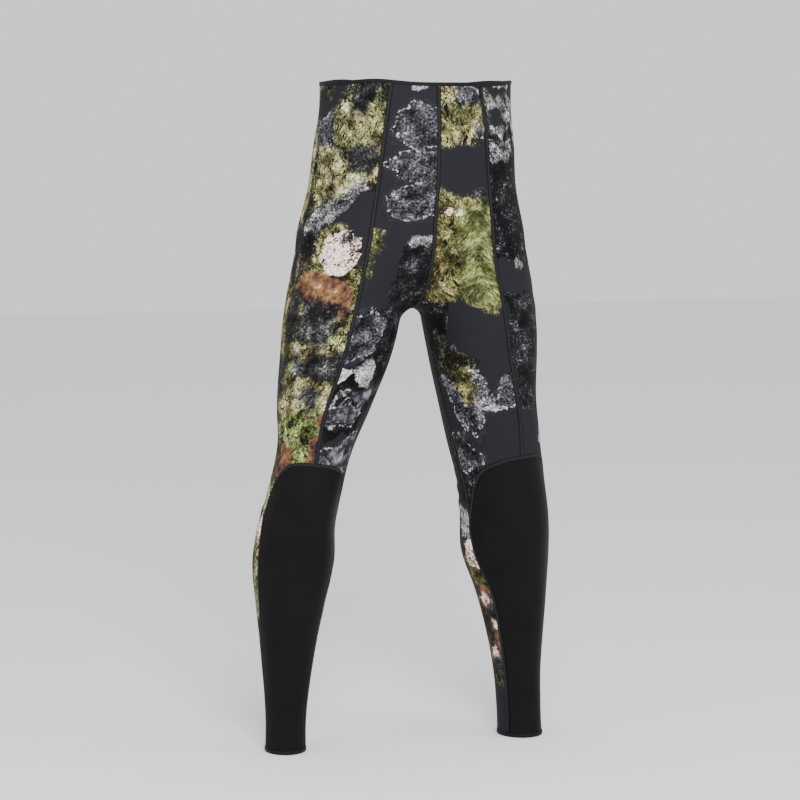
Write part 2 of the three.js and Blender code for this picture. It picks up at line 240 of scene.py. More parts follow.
def half_span(drop, side):
    """The angles, from straight ahead and growing outwards, at which one half's section
    starts and ends: at the centre seams above the saddle and at the inseam below it."""
    drop = np.asarray(drop, float)
    cx, cy = leg_centre(drop, side)
    x = middle(drop)
    zero, one = np.zeros_like(drop), np.ones_like(drop)
    front, back = reach(x, cy, zero, -one, drop), reach(x, cy, zero, one, drop)
    start = np.arctan2(front, np.abs(cx - x)) - np.pi / 2
    end = 1.5 * np.pi - np.arctan2(back, np.abs(cx - x))
    below, turn = drop >= SADDLE, toe_out(drop)
    return np.where(below, turn - np.pi / 2, start), np.where(below, turn + 1.5 * np.pi, end)


def skin(drop, angle, side):
    """Points x, y on the form at each drop and angle round the leg's centre line. A ray that
    runs inwards stops at the middle."""
    cx, cy = leg_centre(drop, side)
    to_x, to_y = side * np.sin(angle), -np.cos(angle)
    inwards = -to_x * side
    far = np.where(inwards > 1e-6, np.abs(cx - middle(drop)) / np.maximum(inwards, 1e-6), FAR)
    r = reach(cx, cy, to_x, to_y, drop, np.minimum(far, FAR))
    return cx + to_x * r, cy + to_y * r


SWELL, FINE_SWELL = 0.5, 0.35      # mm that the cloth stands off the form
KNEE_FOLDS, HIP_FOLDS = 1.3, 0.7


def ease(x, y, drop):
    """Slack of the cloth over the form in mm: slow swells all over, with soft cross folds
    behind the knees and in front of the hips."""
    swell = (SWELL * np.sin(drop / 41 + x / 33) * np.sin(y / 37 - drop / 95)
             + FINE_SWELL * np.sin(drop / 23 - x / 51 + 1.3))
    knee = np.exp(-((drop - 655) / 38) ** 2) * np.clip((y - 45) / 50, 0, 1)
    hip = np.exp(-((drop - 345) / 45) ** 2) * np.clip((20 - y) / 70, 0, 1)
    folds = (KNEE_FOLDS * knee * np.sin(drop / 4.4 + x / 19)
             + HIP_FOLDS * hip * np.sin((drop - 0.5 * np.abs(x)) / 6.5))
    return (swell + folds) * clear_of_edges(drop, 25)


HIP_RISES = [(5.5, -95, 42), (3.5, 142, 26)]    # height, middle x and width
RISE_RUN = 90.0                    # the drop by which the rises have died away


def lay(x, y, drop, height):
    """Final points, in metres, height mm off the wall's outer face. The waist edge also
    rises a little over each hip, as a bell curve sideways that dies away downwards."""
    n = outward(x, y, drop)
    p = np.stack([x, y, -drop], -1) + n * (height + ease(x, y, drop))[..., None]
    lift = sum(rise * np.exp(-((x - at) / width) ** 2) for rise, at, width in HIP_RISES)
    p[..., 2] += lift * np.clip(1 - drop / RISE_RUN, 0, 1) ** 2
    return p * MM


# ---- Printed neoprene ------------------------------------------------------------------------
# The outer face is a polyester jersey, printed before it is cut with mossy rocks, lichen and
# bark on charcoal, and glued to closed-cell foam. Each motif is an outline on the flat cut,
# and the material gives it torn edges, flecks and strands.

# the seams' courses: drop, degrees from straight ahead and growing outwards
FRONT_SEAM = np.array([(0, 3), (70, 6), (300, 5), (420, 9), (530, 15), (604, 11), (1050, 11)], float)
BACK_SEAM = np.array([(0, 172), (300, 176), (604, 182), (1050, 182)], float)


def seam_angle(table, drop):
    return np.radians(along(table, drop, 1))


def arc_table(side):
    """Girth in mm from the inner edge of each half's level sections, at every 6 mm of drop and
    2 degrees: the running sum of the steps between points on the form."""
    drops = np.linspace(0, HEM, 176)
    angles = np.radians(np.linspace(-110, 340, 226))
    start, end = half_span(drops, side)
    start, end = np.where(drops < SADDLE, start, angles[0]), np.where(drops < SADDLE, end, angles[-1])
    held = np.clip(angles[None, :], start[:, None], end[:, None])
    x, y = skin(np.repeat(drops[:, None], len(angles), 1), held, side)
    steps = np.hypot(np.diff(x, axis=1), np.diff(y, axis=1))
    return drops, angles, np.concatenate([np.zeros((len(drops), 1)), np.cumsum(steps, 1)], 1)


ARCS = {side: arc_table(side) for side in SIDES}


def girth(drop, angle, side):
    """Bilinear reading of the girth table."""
    drops, angles, arcs = ARCS[side]
    i = np.clip(np.searchsorted(drops, drop) - 1, 0, len(drops) - 2)
    j = np.clip(np.searchsorted(angles, angle) - 1, 0, len(angles) - 2)
    a = (drop - drops[i]) / (drops[i + 1] - drops[i])
    b = np.clip((angle - angles[j]) / (angles[j + 1] - angles[j]), 0, 1)
    return ((1 - a) * ((1 - b) * arcs[i, j] + b * arcs[i, j + 1])
            + a * ((1 - b) * arcs[i + 1, j] + b * arcs[i + 1, j + 1]))


def oval(u, v, half_width, half_height):
    """A ten-sided outline of an ellipse."""
    turn = np.linspace(0, 2 * np.pi, 10, endpoint=False)
    return list(zip(u + half_width * np.cos(turn), v + half_height * np.sin(turn)))


def depth_inside(u, v, outline):
    """Signed distance to a closed outline, more than 0 inside: the least distance to any
    side, with its sign from the count of sides crossed by a level ray."""
    p = np.array(outline, float)
    least = np.full(u.shape, 1e9)
    inside = np.zeros(u.shape, bool)
    for (ax, ay), (bx, by) in zip(p, np.roll(p, -1, 0)):
        dx, dy = bx - ax, by - ay
        t = np.clip(((u - ax) * dx + (v - ay) * dy) / (dx * dx + dy * dy), 0, 1)
        least = np.minimum(least, np.hypot(u - ax - t * dx, v - ay - t * dy))
        inside ^= ((ay > v) != (by > v)) & (u < ax + dx * (v - ay) / (dy if dy else 1e-9))
    return np.where(inside, least, -least)


# each motif's name and outline: mm from the panel's own seam and mm below the waist
RIGHT_SIDE_PRINT = [
    ("bark", [(-5, -5), (58, -5), (84, 34), (140, 104), (190, 104), (190, 214), (132, 216), (90, 186),
              (60, 164), (-5, 150)]),
    ("bark", [(-5, 276), (190, 262), (190, 620), (-5, 620)]),
    ("bark", [(98, -5), (190, -5), (190, 25), (104, 22)]),
    ("bark", [(5, -5), (66, -5), (72, 20), (66, 44), (5, 44)]),
    ("hollow", [(30, 12), (52, 10), (56, 34), (34, 38)]),
    ("moss", [(0, 36), (60, 28), (88, 40), (86, 70), (74, 96), (0, 96)]),
    ("moss", [(20, 106), (60, 98), (112, 108), (120, 150), (102, 182), (64, 168), (36, 148), (14, 128)]),
    ("bark", [(62, 142), (104, 150), (118, 186), (90, 196), (64, 176)]),
    ("rock", [(80, 42), (124, 48), (140, 76), (132, 108), (98, 108), (80, 78)]),
    ("hollow", [(10, 98), (52, 100), (48, 128), (14, 134)]),
    ("moss", [(0, 92), (14, 100), (16, 140), (0, 142)]),
    ("pumice", [(18, 146), (34, 138), (62, 160), (92, 188), (122, 204), (128, 228), (96, 228), (60, 206),
                (36, 182), (20, 162)]),
    ("speckle", [(80, 228), (190, 220), (190, 300), (112, 300), (92, 262)]),
    ("olive", [(46, 218), (76, 222), (86, 250), (80, 282), (60, 292), (66, 240)]),
    ("lichen", oval(43, 256, 37, 35)),
    ("hollow", oval(34, 235, 11, 6)),
    ("olive", [(4, 284), (36, 280), (40, 312), (10, 316), (2, 380), (30, 380), (8, 400)]),
    ("rust", [(66, 283), (100, 288), (114, 308), (98, 332), (62, 345), (42, 360), (14, 362), (6, 332),
              (12, 306), (40, 298)]),
    ("olive", [(92, 322), (190, 300), (190, 610), (84, 610), (80, 470), (96, 400)]),
    ("hollow", [(28, 338), (84, 334), (88, 388), (34, 394)]),
    ("moss", [(0, 366), (20, 384), (50, 388), (92, 384), (86, 412), (50, 420), (0, 412)]),
    ("rock", [(56, 412), (104, 396), (110, 452), (60, 444)]),
    ("hollow", [(0, 416), (52, 424), (50, 446), (0, 448)]),
    ("moss", [(0, 452), (40, 448), (92, 470), (88, 520), (40, 530), (0, 520)]),
    ("hollow", [(20, 474), (44, 470), (50, 482), (26, 490)]),
    ("leaf", [(8, 518), (66, 512), (74, 540), (66, 580), (20, 588), (4, 560)]),
    ("rust", oval(64, 500, 8, 8)),
    ("rust", [(50, 562), (80, 556), (84, 610), (44, 610)]),
    ("rust", [(-4, 500), (12, 504), (14, 524), (6, 532), (18, 566), (16, 600), (-4, 600)]),
    ("bark", [(96, 480), (150, 470), (150, 600), (92, 600)]),
    ("hollow", [(96, 330), (124, 326), (122, 392), (104, 396)]),
    ("hollow", [(104, 430), (136, 420), (132, 486), (108, 490)]),
    ("hollow", oval(118, 560, 12, 26)),
    ("olive", [(84, 600), (190, 590), (190, 700), (70, 700)]),
    ("moss", [(70, 640), (112, 640), (112, 702), (78, 702)]),
    ("lichen", oval(92, 690, 12, 20)),
    ("moss", [(64, 704), (150, 690), (150, 826), (64, 826)]),
    ("rock", [(60, 832), (120, 828), (120, 900), (60, 904)]),
    ("moss", [(132, 60), (190, 60), (190, 200), (140, 210)]),
    ("pumice", [(150, 214), (190, 206), (190, 290), (160, 286)]),
    ("bark", [(180, 60), (230, 40), (270, 90), (250, 160), (200, 190), (180, 180)]),
    ("moss", [(180, 84), (226, 90), (246, 130), (220, 170), (180, 176)]),
    ("rock", [(230, 196), (270, 180), (300, 210), (300, 270), (262, 290), (232, 256)]),
    ("bark", [(180, 300), (236, 290), (262, 340), (240, 420), (250, 500), (180, 560)]),
    ("olive", [(180, 310), (222, 316), (236, 360), (214, 400), (226, 450), (180, 480)]),
    ("pumice", oval(266, 470, 20, 34)),
    ("bark", oval(250, 570, 34, 44)),
    ("rust", oval(246, 566, 14, 18)),
]
RIGHT_FRONT_PRINT = [
    ("rock", [(-10, 66), (-16, 44), (-34, 32), (-62, 34), (-96, 52), (-96, 98), (-40, 99), (-18, 86)]),
    ("rock", [(-4, 121), (-30, 101), (-96, 98), (-96, 150), (-46, 152)]),
    ("rock", [(-18, 184), (-24, 160), (-44, 154), (-96, 150), (-96, 200), (-62, 208), (-30, 204)]),
    ("pumice", [(-33, 3), (-54, 3), (-52, 9), (-36, 9)]),
    ("olive", [(0, 224), (-12, 232), (-14, 258), (-6, 284), (0, 284)]),
    ("pumice", oval(-80, 239, 17, 12)),
    ("slate", [(-56, 238), (-130, 238), (-130, 340), (-52, 340)]),
    ("slate", [(5, 350), (-130, 330), (-130, 440), (-84, 520), (5, 380)]),
    ("rock", [(5, 350), (-34, 348), (-60, 356), (-56, 392), (-40, 414), (-12, 430), (5, 436)]),
    ("speckle", [(-58, 392), (-100, 384), (-100, 452), (-62, 446)]),
    ("shade", [(-2, 432), (-30, 420), (-60, 404), (-66, 436), (-66, 548), (-40, 540), (-2, 560)]),
    ("stone", [(-30, 428), (-50, 420), (-66, 432), (-66, 452), (-58, 466), (-38, 466), (-32, 448)]),
    ("stone", [(5, 430), (-14, 432), (-18, 440), (-8, 452), (-2, 462), (5, 462)]),
    ("cobble", [(-26, 470), (-46, 472), (-72, 462), (-72, 488), (-54, 498), (-36, 484)]),
    ("rock", [(-6, 466), (-26, 466), (-32, 474), (-14, 482), (-6, 496)]),
    ("rock", [(5, 506), (-12, 492), (-30, 482), (-46, 496), (-60, 508), (-52, 526), (-30, 532), (5, 520)]),
    ("cobble", [(-18, 500), (-36, 492), (-52, 506), (-44, 520), (-22, 518)]),
    ("stone", oval(-22, 528, 12, 2.5)),
    ("rock", [(5, 564), (-30, 556), (-52, 544), (-72, 528), (-72, 590), (-60, 606), (5, 598)]),
    ("cobble", [(-16, 566), (-48, 556), (-58, 584), (-40, 598), (-18, 590)]),
    ("bark", [(-20, 560), (-44, 556), (-40, 580), (-24, 580)]),
]
LEFT_FRONT_PRINT = [
    ("bark", [(-102, -5), (5, -5), (5, 74), (-28, 88), (-102, 90)]),
    ("moss", [(-56, 6), (-96, 6), (-96, 40), (-56, 40)]),
    ("rock", [(-2, 4), (-46, 4), (-46, 40), (-2, 40)]),
    ("olive", [(0, 40), (-96, 40), (-96, 60), (0, 58)]),
    ("moss", [(-28, 60), (-96, 56), (-96, 86), (-32, 86)]),
    ("rock", [(0, 44), (-30, 46), (-24, 78), (0, 84)]),
    ("olive", [(0, 184), (-28, 176), (-64, 184), (-84, 168), (-110, 168), (-110, 328), (-60, 322),
               (-46, 340), (-12, 346), (0, 336)]),
    ("fern", [(-4, 190), (-54, 190), (-56, 330), (-4, 336)]),
    ("hollow", oval(-24, 168, 9, 4)),
    ("lichen", oval(-74, 194, 5, 2.5)),
    ("lichen", oval(-60, 200, 6, 2)),
    ("lichen", oval(-86, 308, 5, 2)),
    ("lichen", oval(-74, 314, 5, 2)),
    ("pumice", oval(-34, 344, 12, 3)),
    ("speckle", [(-88, 326), (-150, 326), (-150, 470), (-110, 430), (-98, 380)]),
    ("slate", [(-96, 392), (-140, 380), (-140, 460), (-98, 530), (-66, 548), (-52, 512), (-30, 508),
               (-12, 516), (5, 500), (5, 440), (-20, 450), (-38, 488), (-62, 466), (-74, 430)]),
    ("bark", [(-78, 424), (-120, 400), (-132, 450), (-98, 508), (-70, 520), (-66, 470)]),
    ("rock", [(5, 450), (-16, 452), (-36, 488), (-58, 478), (-66, 500), (-50, 514), (-14, 508), (5, 500)]),
    ("rock", [(-74, 500), (-96, 512), (-80, 540), (-60, 548), (-56, 520)]),
    ("bark", [(-60, 430), (-84, 424), (-104, 452), (-84, 486), (-60, 476)]),
    ("pumice", [(-46, 440), (-66, 432), (-84, 446), (-78, 480), (-64, 500), (-50, 488)]),
    ("olive", [(-70, 446), (-88, 440), (-98, 462), (-82, 492), (-72, 478)]),
    ("lichen", oval(-66, 446, 7, 5)),
    ("stone", oval(-34, 506, 17, 3.5)),
    ("rock", [(-96, 470), (-132, 452), (-100, 540), (-70, 560), (-72, 552), (-96, 530)]),
    ("rock", [(-64, 586), (-84, 570), (-110, 548), (-130, 548), (-130, 612), (-100, 612), (-62, 600)]),
    ("speckle", [(-84, 560), (-140, 556), (-140, 708), (-60, 708), (-66, 610)]),
    ("hollow", [(-100, 552), (-128, 566), (-126, 598), (-104, 590)]),
]
LEFT_SIDE_PRINT = [
    ("hollow", [(0, -5), (10, -5), (10, 62), (0, 62)]),
    ("stone", [(22, 2), (74, 0), (70, 11), (26, 9)]),
    ("pumice", [(4, 18), (40, 12), (74, 14), (76, 60), (44, 58), (38, 42), (6, 44)]),
    ("pumice", [(2, 62), (34, 60), (58, 68), (40, 84), (14, 82)]),
    ("pumice", [(2, 84), (24, 98), (56, 84), (66, 96), (50, 120), (8, 124)]),
    ("speckle", [(-5, 80), (190, 60), (190, 292), (-5, 272)]),
    ("pumice", oval(48, 279, 13, 12)),
    ("slate", [(2, 326), (70, 322), (76, 420), (66, 516), (8, 514)]),
    ("pumice", oval(60, 558, 13, 11)),
    ("bark", [(96, 96), (150, 60), (214, 84), (244, 140), (226, 220), (250, 280), (190, 320), (140, 300),
              (118, 230), (100, 170)]),
    ("olive", [(150, 110), (200, 104), (222, 150), (200, 210), (160, 200), (140, 160)]),
    ("pumice", [(70, 20), (110, 24), (132, 60), (120, 104), (92, 96), (80, 66)]),
    ("rock", [(214, 20), (262, 30), (284, 80), (262, 130), (236, 120), (220, 70)]),
    ("moss", [(110, 318), (160, 300), (206, 330), (222, 400), (196, 470), (150, 500), (118, 450),
              (100, 390)]),
    ("rust", oval(168, 470, 30, 26)),
    ("hollow", [(140, 360), (176, 356), (180, 400), (150, 420)]),
    ("pumice", [(226, 300), (262, 290), (290, 330), (282, 390), (250, 400), (232, 350)]),
    ("bark", [(222, 400), (262, 420), (280, 500), (250, 580), (214, 540), (206, 460)]),
    ("rock", [(110, 520), (150, 506), (196, 530), (206, 590), (176, 640), (130, 648), (96, 610)]),
    ("stone", [(150, 530), (180, 536), (184, 566), (158, 572)]),
    ("olive", [(170, 640), (220, 620), (240, 690), (210, 760), (160, 740), (150, 690)]),
    ("moss", [(96, 680), (150, 664), (176, 720), (150, 800), (104, 812), (84, 750)]),
    ("bark", [(60, 826), (110, 806), (150, 840), (140, 920), (96, 944), (62, 900)]),
    ("rust", oval(112, 860, 18, 22)),
]
CALF_PRINT = [
    ("bark", [(-2, -5), (-34, -5), (-40, 90), (-20, 210), (-2, 230)]),
    ("pumice", [(-6, 236), (-34, 228), (-40, 284), (-10, 292)]),
    ("olive", oval(-45, 660, 40, 42)),
    ("moss", oval(-50, 655, 22, 20)),
    ("rock", oval(-60, 760, 34, 40)),
    ("bark", oval(-40, 850, 38, 42)),
    ("rust", oval(-52, 855, 14, 16)),
]
# On the inner calf the print is placed by distance from the shin panel's seam.
INNER_CALF_PRINT = {
    LEFT: [("speckle", [(0, 560), (40, 560), (40, 672), (0, 672)]),
           ("stone", [(0, 676), (34, 672), (34, 728), (0, 730)]),
           ("lichen", [(0, 730), (26, 728), (30, 770), (0, 770)]),
           ("olive", [(0, 768), (34, 766), (34, 806), (0, 806)]),
           ("bark", [(0, 800), (36, 796), (36, 960), (0, 956)]),
           ("rust", [(0, 806), (26, 802), (30, 836), (14, 856), (22, 880), (36, 896), (30, 930), (0, 924)]),
           ("hollow", oval(4, 846, 9, 9)),
           ("hollow", oval(20, 884, 6, 12)),
           ("hollow", oval(8, 934, 12, 8)),
           ("lichen", oval(18, 824, 6, 8)),
           ("lichen", oval(8, 866, 5, 8)),
           ("lichen", oval(16, 916, 4, 9))],
    RIGHT: [("moss", [(0, 690), (34, 690), (34, 866), (0, 866)]),
            ("lichen", oval(10, 760, 8, 10))],
}
BLACK = (0.0035, 0.0035, 0.004)
CHARCOAL = (0.0130, 0.0128, 0.0162, 1)
# each motif's texture and the colours along it, in the order in which the motifs are laid
TEXTURES = {
    "speckle": ("speckled", [(0.49, BLACK), (0.54, (0.011, 0.011, 0.014)), (0.58, (0.06, 0.06, 0.07)),
                             (0.64, (0.36, 0.36, 0.38))]),
    "slate": ("speckled", [(0.45, BLACK), (0.52, (0.013, 0.013, 0.016)), (0.57, (0.05, 0.05, 0.058)),
                           (0.64, (0.32, 0.32, 0.34))]),
    "bark": ("fibres", [(0.45, BLACK), (0.51, (0.012, 0.012, 0.008)), (0.56, (0.05, 0.05, 0.026)),
                        (0.64, (0.40, 0.40, 0.28))]),
    "shade": ("speckled", [(0.50, BLACK), (0.70, (0.012, 0.012, 0.016))]),
    "rock": ("speckled", [(0.43, BLACK), (0.48, (0.022, 0.021, 0.027)), (0.53, (0.066, 0.063, 0.076)),
                          (0.58, (0.16, 0.16, 0.18)), (0.65, (0.70, 0.70, 0.72))]),
    "cobble": ("cells", [(0.30, BLACK), (0.42, (0.035, 0.035, 0.042)), (0.55, (0.12, 0.12, 0.135)),
                         (0.75, (0.42, 0.43, 0.45))]),
    "pumice": ("speckled", [(0.42, BLACK), (0.47, (0.050, 0.050, 0.052)), (0.52, (0.20, 0.20, 0.205)),
                            (0.60, (0.74, 0.74, 0.74))]),
    "stone": ("speckled", [(0.40, (0.008, 0.008, 0.01)), (0.45, (0.09, 0.09, 0.095)),
                           (0.50, (0.27, 0.27, 0.28)), (0.60, (0.76, 0.76, 0.76))]),
    "olive": ("fibres", [(0.41, (0.004, 0.004, 0.003)), (0.47, (0.030, 0.030, 0.012)),
                         (0.53, (0.12, 0.124, 0.036)), (0.61, (0.52, 0.52, 0.25))]),
    "fern": ("fronds", [(0.38, (0.004, 0.004, 0.002)), (0.46, (0.055, 0.065, 0.018)),
                        (0.53, (0.16, 0.18, 0.055)), (0.63, (0.52, 0.54, 0.28))]),
    "moss": ("fibres", [(0.42, (0.004, 0.004, 0.003)), (0.47, (0.05, 0.052, 0.020)),
                        (0.53, (0.24, 0.245, 0.095)), (0.62, (0.84, 0.84, 0.56))]),
    "leaf": ("fibres", [(0.43, (0.005, 0.007, 0.003)), (0.48, (0.040, 0.052, 0.014)),
                        (0.53, (0.20, 0.26, 0.065)), (0.62, (0.82, 0.90, 0.42))]),
    "rust": ("clumps", [(0.38, (0.012, 0.008, 0.018)), (0.44, (0.06, 0.030, 0.024)),
                        (0.50, (0.13, 0.058, 0.030)), (0.56, (0.21, 0.118, 0.048)),
                        (0.62, (0.27, 0.18, 0.095)), (0.68, (0.80, 0.60, 0.44))]),
    "lichen": ("speckled", [(0.44, (0.006, 0.004, 0.006)), (0.465, (0.20, 0.12, 0.11)),
                            (0.49, (0.80, 0.60, 0.52)), (0.58, (1.0, 0.86, 0.78))]),
    "hollow": ("fibres", [(0.45, (0.007, 0.007, 0.0085)), (0.52, (0.016, 0.016, 0.020)),
                          (0.58, (0.09, 0.09, 0.085)), (0.66, (0.45, 0.46, 0.38))]),
}
FRAYED = ("bark", "olive", "fern", "moss", "leaf", "hollow")
EVEN = ("stone", "lichen", "rust")
BROWNED = ("bark", "olive", "moss")
DEPTH_HELD = 30.0


def print_depths(layers):
    """For each motif, the depth in mm inside the nearest of its outlines, held to DEPTH_HELD.
    layers is a list of (u, v, outlines)."""
    depths = {}
    for motif in TEXTURES:
        deepest = -DEPTH_HELD
        for u, v, outlines in layers:
            for kind, outline in outlines:
                if kind == motif:
                    deepest = np.maximum(deepest, depth_inside(u, v, outline))
        depths[motif] = np.clip(deepest, -DEPTH_HELD, DEPTH_HELD)
    return depths


def add_node(tree, kind, inputs=None, **settings):
    """A shader node with its settings, and with values or links on its inputs."""
    made = tree.nodes.new(kind)
    for key, value in settings.items():
        setattr(made, key, value)
    for key, value in (inputs or {}).items():
        if isinstance(value, bpy.types.NodeSocket):
            tree.links.new(value, made.inputs[key])
        else:
            made.inputs[key].default_value = value
    return made


def sums(tree, operation, *values, clamp=False):
    inputs = dict(enumerate(values))
    return add_node(tree, "ShaderNodeMath", inputs, operation=operation, use_clamp=clamp).outputs[0]


def times(tree, a, b, plus=None):
    """a times b, and plus a third value where there is one."""
    if plus is None:
        return sums(tree, "MULTIPLY", a, b)
    return sums(tree, "MULTIPLY_ADD", a, b, plus)


def vectors(tree, operation, a, b):
    return add_node(tree, "ShaderNodeVectorMath", {0: a, 1: b}, operation=operation).outputs[0]


def spread(tree, value, low, high, first=0.0, last=1.0):
    """first where the value is low and below, last where it is high and over, even between."""
    return add_node(tree, "ShaderNodeMapRange", {0: value, 1: low, 2: high, 3: first, 4: last}).outputs[0]


def noise(tree, vector, scale, detail=4.0, roughness=0.6, distortion=0.0):
    inputs = {"Vector": vector, "Scale": scale, "Detail": detail, "Roughness": roughness,
              "Distortion": distortion}
    return add_node(tree, "ShaderNodeTexNoise", inputs).outputs[0]


def blend_colours(tree, amount, a, b, kind="MIX"):
    inputs = {0: amount, 6: a, 7: b}
    return add_node(tree, "ShaderNodeMix", inputs, data_type="RGBA", blend_type=kind).outputs[2]


def ramp(tree, amount, stops):
    made = add_node(tree, "ShaderNodeValToRGB", {0: amount})
    points = made.color_ramp.elements
    for at, colour in stops[2:]:
        points.new(at)
    for point, (at, colour) in zip(points, stops):
        point.position = at
        point.color = (*colour, 1)
    return made.outputs[0]


def new_finish(name, colour, roughness, specular):
    """A material with its tree and its shader node."""
    made = bpy.data.materials.new(name)
    made.use_nodes = True
    shader = made.node_tree.nodes["Principled BSDF"]
    shader.inputs["Base Color"].default_value = (*colour, 1)
    shader.inputs["Roughness"].default_value = roughness
    shader.inputs["Specular IOR Level"].default_value = specular
    return made, made.node_tree, shader


def cut_coordinates(tree):
    """The piece's own flat-cut coordinates in mm, with a third one that differs by panel."""
    uv = add_node(tree, "ShaderNodeUVMap", uv_map="Cut").outputs[0]
    panel = add_node(tree, "ShaderNodeAttribute", attribute_name="panel").outputs["Fac"]
    lift = add_node(tree, "ShaderNodeCombineXYZ", {2: times(tree, panel, 73.0)}).outputs[0]
    return vectors(tree, "ADD", vectors(tree, "MULTIPLY", uv, (1000, 1000, 0)), lift)


def emboss(tree, shader, height, **more):
    """Bump on the shader's normal from a height and its distance in metres."""
    bump = add_node(tree, "ShaderNodeBump", {"Height": height, **more})
    tree.links.new(bump.outputs[0], shader.inputs["Normal"])


def knit(tree, shader, vector, wale=1.2, course=0.9, depth=0.00012):
    """Bump of a fine jersey: wales crossed with courses, as the sum of two sines."""
    parts = add_node(tree, "ShaderNodeSeparateXYZ", {0: vector}).outputs
    wales = sums(tree, "SINE", times(tree, parts[0], 2 * np.pi / wale))
    courses = sums(tree, "SINE", times(tree, parts[1], 2 * np.pi / course))
    emboss(tree, shader, times(tree, wales, 0.5, times(tree, courses, 0.35)), Distance=depth, Strength=0.6)


def strands(tree, vector, turn, scale):
    """Thin bright lines that lie at one turn: where a stretched noise crosses its middle, one
    less seven times the distance from it."""
    inputs = {"Vector": vector, "Rotation": (0, 0, turn), "Scale": (*scale, 1)}
    combed = add_node(tree, "ShaderNodeMapping", inputs).outputs[0]
    off = sums(tree, "ABSOLUTE", sums(tree, "SUBTRACT", noise(tree, combed, 1.0, 2, 0.5, 0.5), 0.5))
    return sums(tree, "MULTIPLY_ADD", off, -7.0, 1.0, clamp=True)


def printed_finish():
    """Charcoal, then each motif laid over it inside its torn outline, coloured by a ramp over
    its texture and lit unevenly. Mosses drift to brown. Rocks have a broken pale rim, with a
    dim ring round it."""
    made, tree, shader = new_finish("printed neoprene", CHARCOAL[:3], 0.7, 0.08)
    cut = cut_coordinates(tree)
    torn = noise(tree, cut, 0.055, 7, 0.68)
    drift = noise(tree, cut, 0.021, 2, 0.5)
    grain = noise(tree, cut, 0.30, 5, 0.66)
    clumps = noise(tree, cut, 0.048, 8, 0.74)
    flecks = noise(tree, cut, 0.17, 3, 0.6)
    bent = add_node(tree, "ShaderNodeTexNoise", {"Vector": cut, "Scale": 0.035, "Detail": 2.0}).outputs[1]
    swept = vectors(tree, "ADD", cut, vectors(tree, "MULTIPLY", bent, (46, 46, 0)))
    hairs = sums(tree, "MAXIMUM", strands(tree, swept, 0.7, (0.21, 0.05)),
                 strands(tree, swept, -0.9, (0.24, 0.055)))
    fibres = times(tree, clumps, 0.50, times(tree, hairs, 0.17, times(tree, grain, 0.30, -0.02)))
    speckled = times(tree, clumps, 0.5, times(tree, grain, 0.5))
    cells = add_node(tree, "ShaderNodeTexVoronoi", {"Vector": swept, "Scale": 0.045},
                     feature="DISTANCE_TO_EDGE").outputs[0]
    parts = add_node(tree, "ShaderNodeSeparateXYZ", {0: cut}).outputs
    aside = sums(tree, "ABSOLUTE", sums(tree, "ADD", parts[0], 28.0))
    swept_up = times(tree, times(tree, aside, -0.9, parts[1]), 0.26)
    fold = add_node(tree, "ShaderNodeCombineXYZ", {0: times(tree, aside, 0.10), 1: swept_up}).outputs[0]
    sources = {
        "clumps": clumps, "fibres": fibres, "speckled": speckled,
        "cells": times(tree, cells, 0.9, times(tree, speckled, 0.72)),
        "fronds": times(tree, noise(tree, fold, 1.0, 5, 0.7, 1.2), 0.7, times(tree, clumps, 0.3)),
    }
    wander = times(tree, sums(tree, "SUBTRACT", torn, 0.5), 34.0,
                   times(tree, sums(tree, "SUBTRACT", drift, 0.5), 26.0))
    frayed = times(tree, sums(tree, "SUBTRACT", hairs, 0.4), 13.0, wander)
    broken = spread(tree, flecks, 0.50, 0.62)
    lit = spread(tree, noise(tree, cut, 0.032, 2, 0.5), 0.40, 0.60, 0.36, 1.22)
    light = add_node(tree, "ShaderNodeCombineColor", {0: lit, 1: lit, 2: lit}).outputs[0]
    brown = spread(tree, drift, 0.46, 0.62, 0.0, 0.5)
    colour = CHARCOAL
    for motif, (source, stops) in TEXTURES.items():
        depth = add_node(tree, "ShaderNodeAttribute", attribute_name=motif).outputs["Fac"]
        ragged = sums(tree, "ADD", depth, frayed if motif in FRAYED else wander)
        edge = 3.5 if motif in FRAYED else 0.8
        inside = spread(tree, ragged, -edge, edge)
        shade = ramp(tree, sources[source], stops)
        if motif not in EVEN:
            shade = blend_colours(tree, 1.0, shade, light, "MULTIPLY")
        if motif in BROWNED:
            shade = blend_colours(tree, brown, shade, (1.0, 0.72, 0.66, 1), "MULTIPLY")
        if motif == "rock":
            off = sums(tree, "ABSOLUTE", sums(tree, "ADD", ragged, 4.5))
            ring = times(tree, sums(tree, "SUBTRACT", 1.0, off, clamp=True), 0.3)
            colour = blend_colours(tree, ring, colour, (0.06, 0.06, 0.068, 1))
            rim = times(tree, spread(tree, ragged, 4.0, 0.4, 0.0, 1.1), broken)
            shade = blend_colours(tree, rim, shade, (0.62, 0.62, 0.64, 1))
        colour = blend_colours(tree, inside, colour, shade)
    tree.links.new(colour, shader.inputs["Base Color"])
    tree.links.new(times(tree, grain, 0.16, 0.60), shader.inputs["Roughness"])
    knit(tree, shader, cut)
    return made


def lining_finish():
    """The inner face: plain black jersey."""
    made, tree, shader = new_finish("black lining jersey", (0.006, 0.006, 0.007), 0.85, 0.12)
    cut = cut_coordinates(tree)
    stops = [(0.35, (0.0045, 0.0045, 0.005)), (0.65, (0.009, 0.009, 0.0105))]
    tree.links.new(ramp(tree, noise(tree, cut, 0.4, 4), stops), shader.inputs["Base Color"])
    knit(tree, shader, cut, 1.4, 1.1, 0.00016)
    return made


PRINTED = printed_finish()
LINING = lining_finish()


